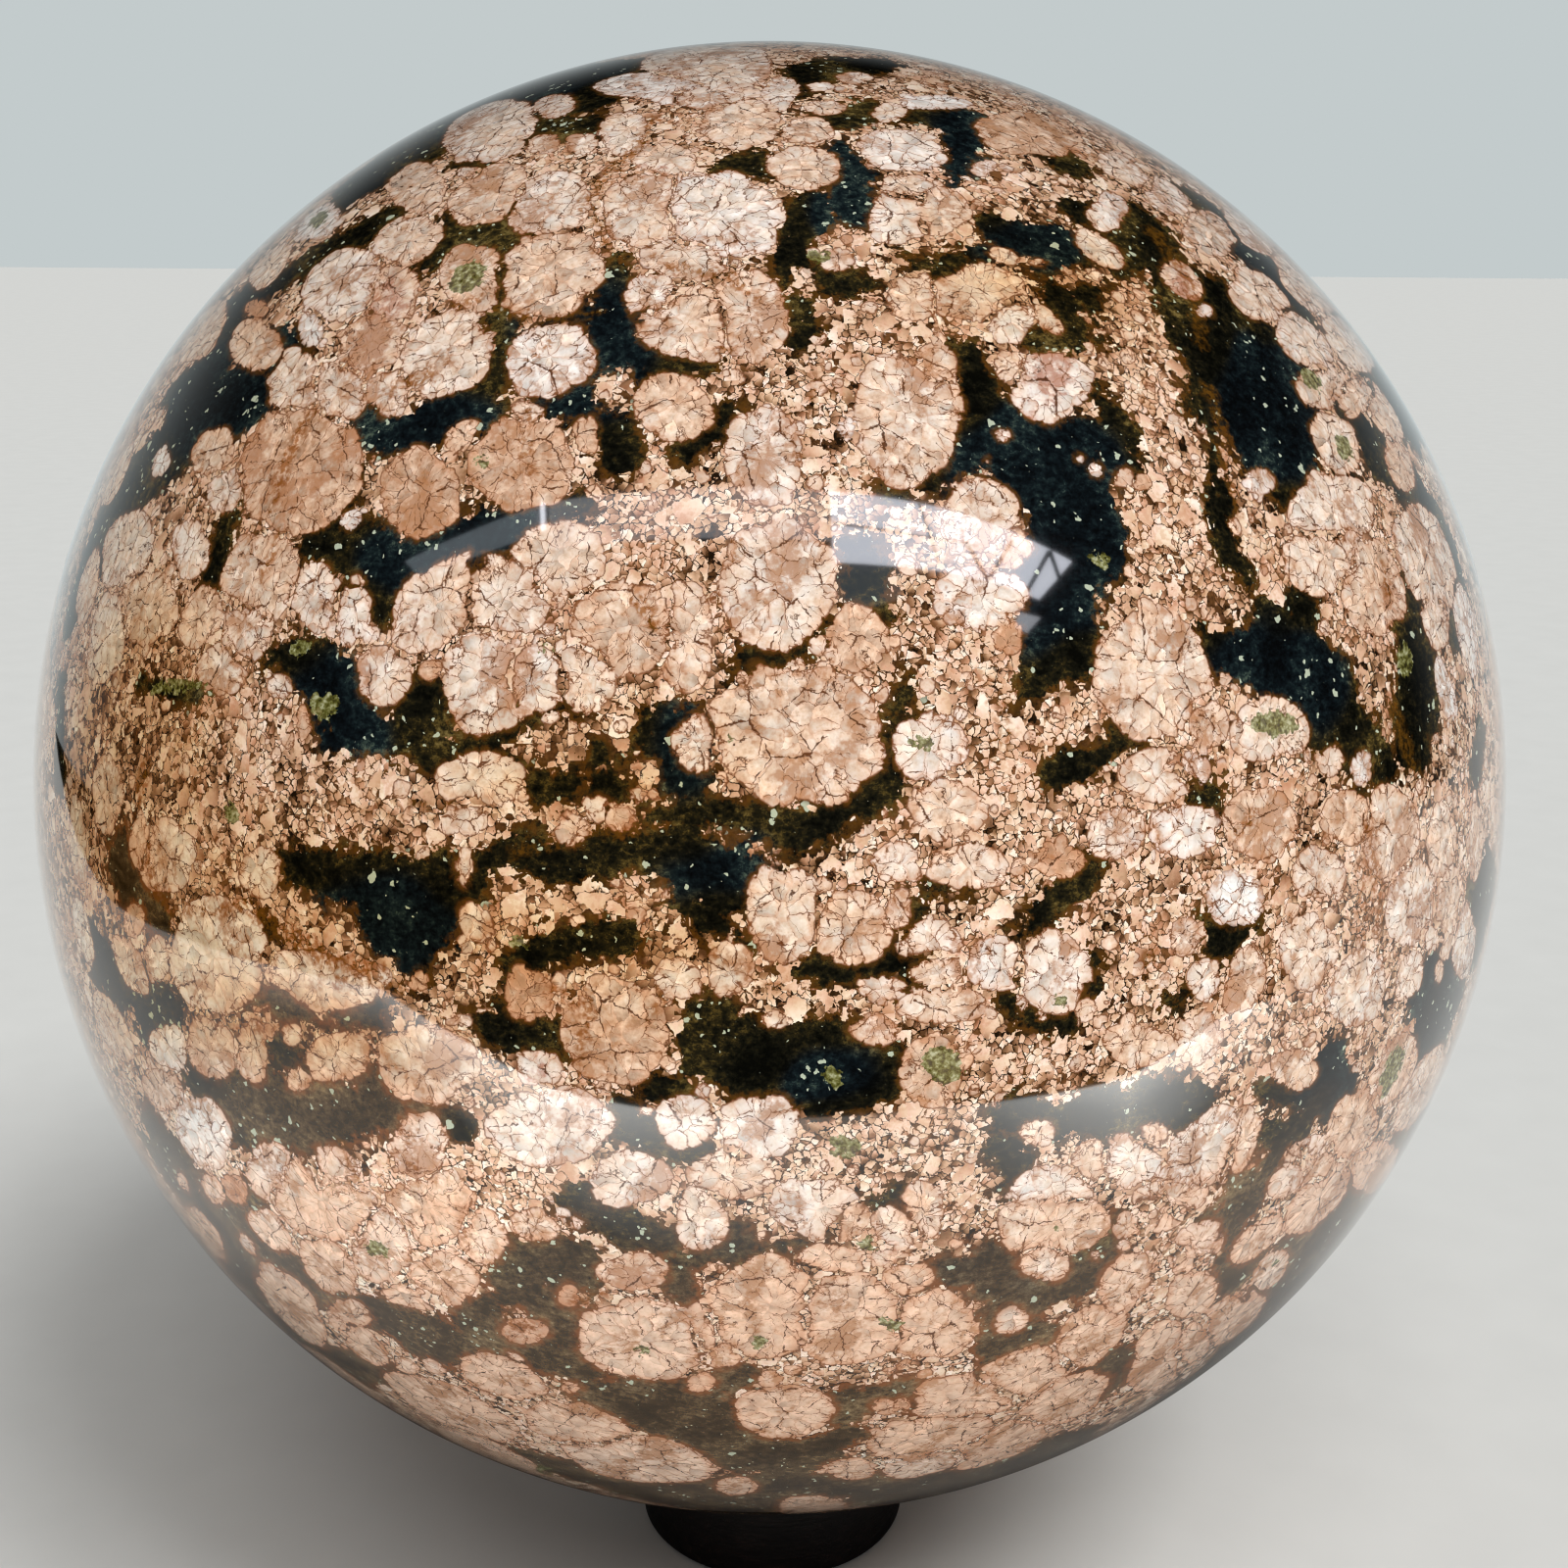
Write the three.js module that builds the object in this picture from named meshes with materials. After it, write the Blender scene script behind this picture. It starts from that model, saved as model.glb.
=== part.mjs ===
import * as THREE from "three";

// A polished ball of cherry blossom agate resting on a small turned ring stand.
// Millimetres, +Z up. The origin is the middle of the stand's foot, on the surface that it stands on.

// Driving dimensions
const ballDiameter = 100;
const ballLift = 10; // from the foot of the stand to the lowest point of the ball
const standDiameter = 20.4;
const boreDiameter = 10;
const seatClearance = 0.3; // between the dished seat and the ball
const footRound = 0.8; // radius of the stand's lower outer edge
const rimRound = 0.5; // radius of the stand's upper outer edge
const boreChamfer = 0.4; // at the lower mouth of the bore

// Fineness of the facets
const ballSegments = 72;
const ballBands = 36;
const standSegments = 60;
const edgeSteps = 3;
const seatSteps = 4;

// Sizes worked out from the driving dimensions
const ballRadius = ballDiameter / 2;
const ballCentreHeight = ballLift + ballRadius;
const standRadius = standDiameter / 2;
const boreRadius = boreDiameter / 2;

// Height of the dished seat at a distance from the stand's axis: a shallow cup, concentric with the ball.
function seatHeight(radius) {
  return ballCentreHeight - Math.sqrt((ballRadius + seatClearance) ** 2 - radius ** 2);
}

// Points of a quarter round about a centre, between two angles in degrees from the outward direction.
function roundedEdge(centreRadius, centreHeight, edgeRadius, fromAngle, toAngle) {
  const points = [];
  for (let step = 0; step <= edgeSteps; step++) {
    const angle = THREE.MathUtils.degToRad(THREE.MathUtils.lerp(fromAngle, toAngle, step / edgeSteps));
    points.push(
      new THREE.Vector2(centreRadius + edgeRadius * Math.cos(angle), centreHeight + edgeRadius * Math.sin(angle)),
    );
  }
  return points;
}

// The ring's cross-section as radius and height, from the bore's lower mouth out, up, over the seat and back.
function ringProfile() {
  const seatEdge = standRadius - rimRound;
  const seat = [];
  for (let step = 1; step <= seatSteps; step++) {
    const radius = THREE.MathUtils.lerp(seatEdge, boreRadius, step / seatSteps);
    seat.push(new THREE.Vector2(radius, seatHeight(radius)));
  }
  const start = new THREE.Vector2(boreRadius + boreChamfer, 0);
  return [
    start,
    ...roundedEdge(standRadius - footRound, footRound, footRound, -90, 0),
    ...roundedEdge(seatEdge, seatHeight(seatEdge) - rimRound, rimRound, 0, 90),
    ...seat,
    new THREE.Vector2(boreRadius, boreChamfer),
    start.clone(),
  ];
}

// One stone, ground and polished to a ball: its poles lie on the upright axis.
function makeAgateBall() {
  const shape = new THREE.SphereGeometry(ballRadius, ballSegments, ballBands);
  shape.rotateX(Math.PI / 2);
  const polishedStone = new THREE.MeshStandardMaterial({ color: "#b08a76", roughness: 0.06, metalness: 0 });
  const ball = new THREE.Mesh(shape, polishedStone);
  ball.name = "agate_ball";
  ball.position.z = ballCentreHeight;
  return ball;
}

// A short turned ring, open through the middle, with a flat foot and a dished seat for the ball.
function makeRingStand() {
  const shape = new THREE.LatheGeometry(ringProfile(), standSegments);
  shape.rotateX(Math.PI / 2);
  const darkWood = new THREE.MeshStandardMaterial({ color: "#1d1311", roughness: 0.45, metalness: 0 });
  const ring = new THREE.Mesh(shape, darkWood);
  ring.name = "ring_stand";
  return ring;
}

const agateOnStand = new THREE.Group();
agateOnStand.add(makeAgateBall(), makeRingStand());

export default agateOnStand;
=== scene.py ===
# Cherry blossom agate sphere on a ring stand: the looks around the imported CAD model. Metres in the scene.
# The stone's pattern is worked out in millimetres, and its marks are read in photo pixels.
import math
from functools import partial
import bpy
import numpy as np
from mathutils import Matrix, Vector


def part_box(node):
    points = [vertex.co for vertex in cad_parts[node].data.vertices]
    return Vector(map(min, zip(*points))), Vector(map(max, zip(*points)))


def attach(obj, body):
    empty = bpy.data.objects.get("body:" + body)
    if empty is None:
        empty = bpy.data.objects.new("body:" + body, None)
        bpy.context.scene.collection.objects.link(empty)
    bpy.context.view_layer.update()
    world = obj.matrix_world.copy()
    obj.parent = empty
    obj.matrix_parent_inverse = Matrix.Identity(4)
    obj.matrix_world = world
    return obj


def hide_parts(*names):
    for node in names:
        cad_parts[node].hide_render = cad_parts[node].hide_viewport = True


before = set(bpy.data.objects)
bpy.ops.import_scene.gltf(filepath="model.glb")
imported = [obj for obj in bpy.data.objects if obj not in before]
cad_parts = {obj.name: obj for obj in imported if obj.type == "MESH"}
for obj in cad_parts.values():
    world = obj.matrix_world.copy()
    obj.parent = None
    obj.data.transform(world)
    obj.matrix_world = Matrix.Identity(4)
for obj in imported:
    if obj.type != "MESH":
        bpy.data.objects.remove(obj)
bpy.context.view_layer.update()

scene = bpy.context.scene
metresPerMm = 0.001
frameSize = 1600  # the photo is square, in pixels


# A colour as sRGB hex, turned to linear: below 0.04045 it is divided by 12.92, above that it follows a 2.4
# power.
def linearColour(hexCode, alpha=1.0):
    values = [int(hexCode[i:i + 2], 16) / 255 for i in (1, 3, 5)]
    linear = [v / 12.92 if v <= 0.04045 else ((v + 0.055) / 1.055) ** 2.4 for v in values]
    return (*linear, alpha)


# Adds one node with its settings. Its inputs are a dictionary by name, or a list in the order of the node's
# open sockets. One given as a node or a socket is linked, and any other value is set.
def addNode(tree, kind, inputs=(), settings=None):
    node = tree.nodes.new("ShaderNode" + kind)
    for name, value in (settings or {}).items():
        setattr(node, name, value)
    sockets = [socket for socket in node.inputs if socket.enabled]
    if isinstance(inputs, dict):
        sockets = [next(socket for socket in sockets if socket.name == name) for name in inputs]
        inputs = inputs.values()
    for socket, value in zip(sockets, inputs):
        if isinstance(value, bpy.types.Node):
            value = next(s for s in value.outputs if s.enabled)
        if isinstance(value, bpy.types.NodeSocket):
            tree.links.new(value, socket)
        elif isinstance(value, str):
            socket.default_value = linearColour(value)
        else:
            socket.default_value = value
    return node


# The settings that many nodes share.
smooth = {"interpolation_type": "SMOOTHSTEP"}
blend, tint = ({"data_type": "RGBA", "blend_type": kind} for kind in ("MIX", "MULTIPLY"))
plus, minus, times, timesPlus, over, larger, smaller, below, absolute, lengthOf, dotted, scaled = (
    {"operation": kind} for kind in (
        "ADD", "SUBTRACT", "MULTIPLY", "MULTIPLY_ADD", "DIVIDE", "MAXIMUM", "MINIMUM", "LESS_THAN",
        "ABSOLUTE", "LENGTH", "DOT_PRODUCT", "SCALE"))


# A new material with an empty node tree, and addNode for that tree.
def newMaterial(name):
    material = bpy.data.materials.new(name)
    material.use_nodes = True
    material.node_tree.nodes.clear()
    return material, partial(addNode, material.node_tree)


# Puts whole arrays of corners and faces into a new object at the origin, with smooth faces.
def addMesh(name, corners, faces, material):
    mesh = bpy.data.meshes.new(name)
    mesh.vertices.add(len(corners))
    mesh.vertices.foreach_set("co", np.asarray(corners, np.float32).ravel())
    sides = faces.shape[1]
    mesh.loops.add(faces.size)
    mesh.loops.foreach_set("vertex_index", faces.astype(np.int32).ravel())
    mesh.polygons.add(len(faces))
    mesh.polygons.foreach_set("loop_start", np.arange(0, faces.size, sides, dtype=np.int32))
    mesh.update(calc_edges=True)
    mesh.polygons.foreach_set("use_smooth", np.ones(len(faces), bool))
    mesh.validate()
    mesh.materials.append(material)
    piece = bpy.data.objects.new(name, mesh)
    scene.collection.objects.link(piece)
    return piece


# Writes one number or three numbers for each point or face corner of a mesh.
def addField(piece, name, domain, values):
    kind, key = ("FLOAT", "value") if np.ndim(values) == 1 else ("FLOAT_VECTOR", "vector")
    layer = piece.data.attributes.new(name, kind, domain)
    layer.data.foreach_set(key, np.asarray(values, np.float32).ravel())


def unit(vectors):
    return vectors / np.linalg.norm(vectors, axis=-1, keepdims=True)


# Values held to 0..1.
def held(values):
    return np.clip(values, 0, 1)


ballLow, ballHigh = (np.array(corner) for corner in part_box("agate_ball"))
ballCentre = (ballLow + ballHigh) / 2
ballRadius = float(ballHigh[0] - ballLow[0]) / 2

cameraView = {
    "elevation": 16.0,  # degrees above the table, worked out from the stand's foot in the photo
    "distanceInRadii": 3.0,  # close up: the photo shows the ball wider below than a far view would
    "ballRadiusPixels": 752.0,
    "aimBeside": 0.92e-3,  # the ball stands a little left of the middle of the picture
    "aimBelow": 0.42e-3,
    "sensor": 36.0,
}
cameraAngle = math.radians(cameraView["elevation"])
cameraPlace = ballCentre + ballRadius * cameraView["distanceInRadii"] * np.array(
    [0.0, -math.cos(cameraAngle), math.sin(cameraAngle)])
aimPoint = ballCentre + np.array([cameraView["aimBeside"], 0.0, -cameraView["aimBelow"]])
viewForward = unit(aimPoint - cameraPlace)
viewRight = unit(np.cross(viewForward, [0.0, 0.0, 1.0]))
viewUp = np.cross(viewRight, viewForward)
focalPixels = cameraView["ballRadiusPixels"] / math.tan(math.asin(1 / cameraView["distanceInRadii"]))

cameraData = bpy.data.cameras.new("photoCamera")
cameraData.sensor_width = cameraView["sensor"]
cameraData.lens = focalPixels / frameSize * cameraView["sensor"]
cameraData.clip_start = 0.005
cameraData.clip_end = 20.0
camera = bpy.data.objects.new("photoCamera", cameraData)
scene.collection.objects.link(camera)
cameraTurn = np.eye(4)
cameraTurn[:3, 0], cameraTurn[:3, 1], cameraTurn[:3, 2], cameraTurn[:3, 3] = (
    viewRight, viewUp, -viewForward, cameraPlace)
camera.matrix_world = Matrix(cameraTurn.tolist())
scene.camera = camera
print("camera placed")


# The stone's marks were read from the photo. Blossoms: place across and down, half length, half width, and
# where they differ from the plain ones, the turn in degrees (clockwise) and a letter for the kind: w whitish,
# b brown in the middle, r red-brown in the middle, o orange-brown all over, d duskier, g a mass of loose
# grains.
blossomMarks = [
    # upper middle
    (429, 503, 41, 46, "d"), (472, 447, 22, 15, -40), (531, 473, 56, 48, "d"), (538, 420, 17, 13),
    (598, 445, 15, 20), (688, 415, 44, 34, "d"), (630, 398, 23, 23, "g"), (778, 465, 42, 50),
    (448, 618, 60, 40, -45, "d"), (392, 690, 28, 32, "d"), (440, 685, 15, 12, "o"), (510, 610, 50, 48),
    (495, 690, 45, 62), (540, 693, 38, 38), (570, 570, 50, 40), (570, 758, 35, 27, -20, "g"),
    (490, 795, 45, 32), (714, 758, 27, 31), (812, 750, 94, 72, 8), (657, 790, 20, 20, "g"),
    (795, 595, 62, 68), (640, 560, 60, 50, "g"), (640, 640, 60, 50), (600, 690, 30, 40),
    (700, 650, 30, 60, "b"), (925, 425, 55, 72), (866, 437, 9, 12, "w"), (1000, 530, 38, 43),
    (1030, 560, 22, 25), (1000, 610, 50, 35), (1030, 648, 17, 20, "o"), (873, 650, 37, 34),
    (838, 658, 12, 12), (948, 762, 38, 36), (1175, 687, 61, 70), (1100, 728, 32, 36, "g"),
    (1072, 395, 43, 38, "r"), (1146, 487, 11, 11), (1165, 493, 8, 8), (1025, 443, 7, 6, "w"),
    (1119, 478, 8, 7, "w"), (1101, 468, 5, 4, "w"), (1007, 472, 4, 4, "w"), (1229, 317, 9, 7, 20, "w"),
    (950, 600, 45, 40, "g"), (1182, 792, 42, 30),
    # top
    (500, 133, 50, 28, -22), (565, 108, 22, 12, -15), (425, 192, 30, 27, -25), (415, 245, 38, 25, -20),
    (500, 198, 45, 28, -25), (480, 177, 13, 8), (483, 282, 34, 36, -30), (560, 278, 57, 46, -25),
    (560, 368, 47, 38, -20), (455, 360, 52, 42, -35), (636, 136, 27, 22), (690, 88, 85, 18),
    (720, 75, 70, 30), (555, 147, 18, 10), (595, 148, 20, 12), (680, 163, 32, 18, "r"), (668, 305, 32, 28),
    (660, 215, 45, 40), (730, 220, 65, 48), (700, 330, 55, 38), (765, 320, 40, 45), (755, 125, 42, 26),
    (560, 210, 45, 35, -20), (700, 262, 50, 25), (795, 95, 20, 18), (825, 134, 28, 14),
    (820, 171, 38, 23, "b"), (920, 154, 45, 22, 8), (842, 109, 22, 8), (872, 80, 18, 7), (840, 88, 14, 5),
    (908, 115, 17, 10), (955, 105, 35, 8, "w"), (1050, 137, 53, 22, 8), (1005, 172, 15, 10),
    (925, 190, 27, 15), (915, 222, 33, 28), (960, 215, 30, 25), (1130, 217, 20, 20), (1122, 253, 32, 15, 35),
    (1024, 262, 16, 9, 20), (1060, 267, 11, 4), (855, 265, 18, 14), (930, 305, 28, 22), (1000, 300, 50, 32),
    (1030, 325, 26, 26, "w"), (1070, 325, 20, 10, 45), (1031, 375, 17, 18), (950, 378, 30, 28),
    # upper left
    (325, 227, 26, 14, -38, "w"), (275, 272, 32, 12, -50), (262, 315, 12, 10, "o"), (208, 340, 38, 14, -58),
    (262, 352, 26, 30, -30), (350, 290, 45, 35, -35), (400, 300, 30, 30, -30, "r"), (318, 335, 14, 18, "w"),
    (380, 350, 40, 30, -45, "b"), (300, 390, 30, 34), (345, 400, 30, 34, -30), (240, 290, 20, 8, -50, "g"),
    (300, 215, 40, 10, -38), (360, 170, 40, 9, -33), (185, 300, 40, 9, -55), (150, 370, 30, 8, -62),
    (395, 400, 26, 26), (164, 472, 8, 17, 20, "w"), (217, 463, 22, 27, 20), (230, 500, 20, 26, 10),
    (305, 478, 60, 72, 20, "b"), (265, 590, 40, 50, 15), (322, 608, 25, 37), (360, 625, 21, 29),
    (366, 592, 9, 8), (358, 530, 12, 13, "w"), (195, 560, 20, 30), (205, 630, 20, 33, 15), (252, 640, 24, 40),
    (227, 683, 27, 28), (285, 702, 13, 11), (310, 735, 8, 20, "o"), (265, 730, 22, 28, "g"),
    (130, 560, 26, 40, 20), (150, 620, 30, 40, 10), (110, 650, 20, 50, 12), (120, 480, 9, 40, 24),
    (90, 600, 10, 40, 12),
    # upper right
    (1235, 238, 30, 20, 40), (1285, 302, 36, 22, 40), (1275, 235, 35, 12, 42), (1330, 290, 45, 14, 48),
    (1375, 350, 40, 13, 52), (1330, 350, 42, 20, 50), (1350, 395, 30, 24, 45), (1410, 420, 40, 12, 60),
    (1190, 200, 30, 14, 35), (1150, 175, 34, 12, 30), (1150, 320, 26, 36, "g"), (1205, 285, 28, 14, 45, "r"),
    (1363, 452, 22, 38, -25), (1285, 492, 16, 14, "w"), (1385, 405, 25, 20), (1428, 473, 12, 32, -22),
    (1360, 520, 45, 40), (1455, 570, 28, 60, -18), (1465, 630, 14, 35, -10), (1475, 705, 9, 35, -12, "w"),
    (1350, 570, 40, 40), (1400, 600, 35, 50, -10, "b"), (1495, 640, 10, 50, -10), (1480, 500, 14, 40, -25),
    (1200, 480, 32, 60, "g"), (1190, 560, 36, 50, -10, "g"), (1240, 610, 40, 30, 30, "g"),
    (1254, 465, 8, 30, -15, "g"), (1297, 745, 42, 34), (1231, 738, 23, 27), (1213, 785, 25, 20),
    (1389, 785, 12, 17, "w"), (1360, 775, 14, 16),
    # centre band
    (651, 811, 11, 10), (585, 845, 20, 20, "r"), (606, 828, 14, 15), (632, 835, 16, 14, "o"),
    (478, 830, 22, 22), (475, 882, 13, 20), (486, 942, 18, 19), (475, 1000, 38, 32, "g"), (426, 1001, 12, 12),
    (540, 1015, 28, 28, "o"), (570, 1003, 10, 14), (628, 1053, 56, 56), (690, 1000, 24, 24),
    (745, 990, 26, 27), (785, 1010, 20, 25, "g"), (790, 1040, 18, 12), (800, 930, 40, 55), (795, 882, 15, 15),
    (870, 945, 42, 40), (915, 925, 18, 22), (860, 890, 40, 30, "g"), (550, 1090, 25, 20, "r"),
    (435, 1085, 52, 42), (467, 1043, 15, 9), (700, 1147, 33, 28), (775, 1150, 42, 35),
    (560, 1150, 65, 42, "d"), (643, 1203, 42, 28), (745, 1200, 45, 28), (968, 825, 42, 34),
    (985, 884, 44, 25), (918, 880, 28, 22), (1080, 878, 28, 18, "o"), (950, 965, 35, 25), (1015, 985, 30, 30),
    (955, 985, 28, 25), (1076, 992, 38, 44), (960, 1025, 48, 22), (1108, 1028, 12, 14), (1160, 1065, 38, 22),
    (893, 1050, 26, 16, "b"), (950, 1095, 32, 38), (1060, 1155, 18, 14, "b"), (1074, 1212, 44, 22),
    (1113, 1185, 19, 25), (1174, 1165, 20, 17), (1158, 1185, 36, 30), (900, 1010, 30, 14, 10),
    (480, 950, 22, 14, -40, "g"), (515, 930, 22, 14, -35, "g"), (560, 917, 26, 13, -5, "g"),
    (610, 917, 26, 13, "g"), (655, 928, 26, 13, 20, "g"), (695, 952, 26, 14, 35, "g"),
    (735, 970, 20, 14, 15, "g"),
    # left
    (170, 875, 30, 38), (265, 890, 22, 26), (222, 975, 50, 60), (325, 1000, 60, 28, 15), (137, 940, 12, 16),
    (133, 985, 14, 32, -25), (160, 980, 13, 25), (391, 997, 9, 9, "w"), (115, 1048, 14, 40, -25),
    (172, 1068, 20, 26), (215, 1070, 24, 36, -25), (258, 1075, 18, 32), (300, 1053, 11, 13),
    (303, 1102, 13, 13), (345, 1078, 35, 26), (165, 1110, 18, 28, -30), (208, 1156, 26, 38, -30, "w"),
    (275, 1195, 25, 30), (335, 1205, 36, 35), (80, 860, 9, 50, -4), (85, 950, 8, 36, -12), (145, 860, 12, 30),
    (110, 810, 16, 40),
    # right
    (1208, 845, 42, 28), (1285, 840, 38, 38), (1262, 918, 31, 28, "w"), (1210, 955, 18, 22),
    (1230, 999, 18, 22), (1270, 1000, 20, 38, 15), (1345, 890, 28, 28), (1375, 835, 28, 28),
    (1438, 995, 13, 30, 20), (1465, 955, 16, 18), (1492, 960, 13, 42), (1468, 992, 5, 13),
    (1222, 1060, 25, 25), (1320, 1090, 25, 22), (1425, 1090, 18, 40, 20), (1450, 1110, 14, 50, 28),
    (1222, 1178, 62, 30, -45), (1268, 1163, 17, 36, 15), (1196, 1222, 40, 28, -45), (1338, 1190, 28, 28),
    (1420, 850, 30, 50), (1470, 860, 16, 40, 4), (1335, 970, 30, 40), (1385, 1010, 30, 40, 15),
    (1505, 860, 8, 40, 2), (1440, 920, 26, 48, 5), (1478, 930, 16, 48, 5), (1140, 850, 34, 24, -20),
    # lower middle
    (545, 1250, 26, 17), (572, 1240, 10, 8, "w"), (587, 1247, 9, 6, 20, "w"), (716, 1242, 28, 36),
    (645, 1297, 38, 19, "b"), (656, 1367, 70, 42, 4), (712, 1358, 18, 28), (737, 1385, 18, 12),
    (535, 1357, 25, 14, "o"), (580, 1320, 12, 11, "o"), (512, 1405, 47, 20, 20), (443, 1395, 13, 6, 25, "w"),
    (415, 1395, 14, 8, 25), (525, 1385, 10, 4, 30, "w"), (582, 1415, 10, 7, "o"), (574, 1429, 6, 4, "w"),
    (460, 1435, 75, 20, 25), (590, 1455, 58, 23, 14), (650, 1488, 78, 24, 8), (750, 1517, 22, 9),
    (785, 1408, 14, 10), (715, 1410, 16, 11, "o"), (800, 1440, 52, 28), (830, 1232, 48, 32),
    (915, 1250, 28, 22), (865, 1245, 22, 26), (940, 1235, 25, 30), (985, 1240, 30, 28, "g"),
    (1075, 1250, 58, 34), (1066, 1286, 26, 23), (1117, 1280, 7, 7, "w"), (1150, 1270, 10, 8, "w"),
    (1152, 1252, 14, 16), (1185, 1225, 30, 28), (785, 1335, 64, 52), (865, 1345, 66, 50), (950, 1352, 50, 36),
    (925, 1305, 28, 22), (850, 1285, 40, 18), (907, 1285, 26, 11, "r"), (1033, 1347, 17, 12, -30, "w"),
    (1145, 1312, 42, 22, -60), (1112, 1362, 46, 27, -40), (1045, 1402, 55, 26, -18), (985, 1425, 60, 26, -8),
    (950, 1465, 70, 22, -10), (1020, 1472, 60, 18, -22), (1085, 1430, 50, 22, -28), (1185, 1385, 44, 26, -52),
    (870, 1499, 30, 11), (945, 1493, 50, 12, -12), (830, 1537, 38, 9), (905, 1435, 14, 8, "o"),
    (925, 1432, 15, 8, "o"), (870, 1400, 50, 14, "g"),
    # lower left
    (210, 1258, 34, 9, 55), (252, 1268, 14, 6, 52, "w"), (276, 1255, 28, 14, 48), (218, 1215, 20, 9, 60),
    (241, 1212, 12, 17, -30, "o"), (186, 1205, 5, 10, -30), (330, 1225, 60, 42, 35), (335, 1290, 38, 24, 50),
    (390, 1270, 36, 40), (300, 1333, 52, 19, 50), (355, 1345, 22, 20, 45), (370, 1370, 36, 14, 42),
    (355, 1408, 60, 10, 36), (440, 1230, 45, 40), (450, 1305, 40, 27), (492, 1262, 26, 30),
    (420, 1320, 30, 16, 10), (430, 1172, 30, 40), (500, 1480, 60, 9, 24), (640, 1532, 60, 5, 12),
    # lower right
    (1222, 1270, 32, 22, -50), (1324, 1192, 44, 17, -50), (1346, 1220, 52, 21, -48),
    (1283, 1264, 36, 14, -44), (1215, 1278, 30, 20, -50), (1295, 1298, 28, 13, -48, "w"),
    (1255, 1345, 42, 19, -38), (1215, 1372, 38, 18, -42), (1215, 1320, 30, 24, -40),
    (1268, 1325, 12, 8, -20, "w"), (1380, 1150, 24, 40, 20), (1400, 1190, 20, 30, 35),
]

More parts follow.
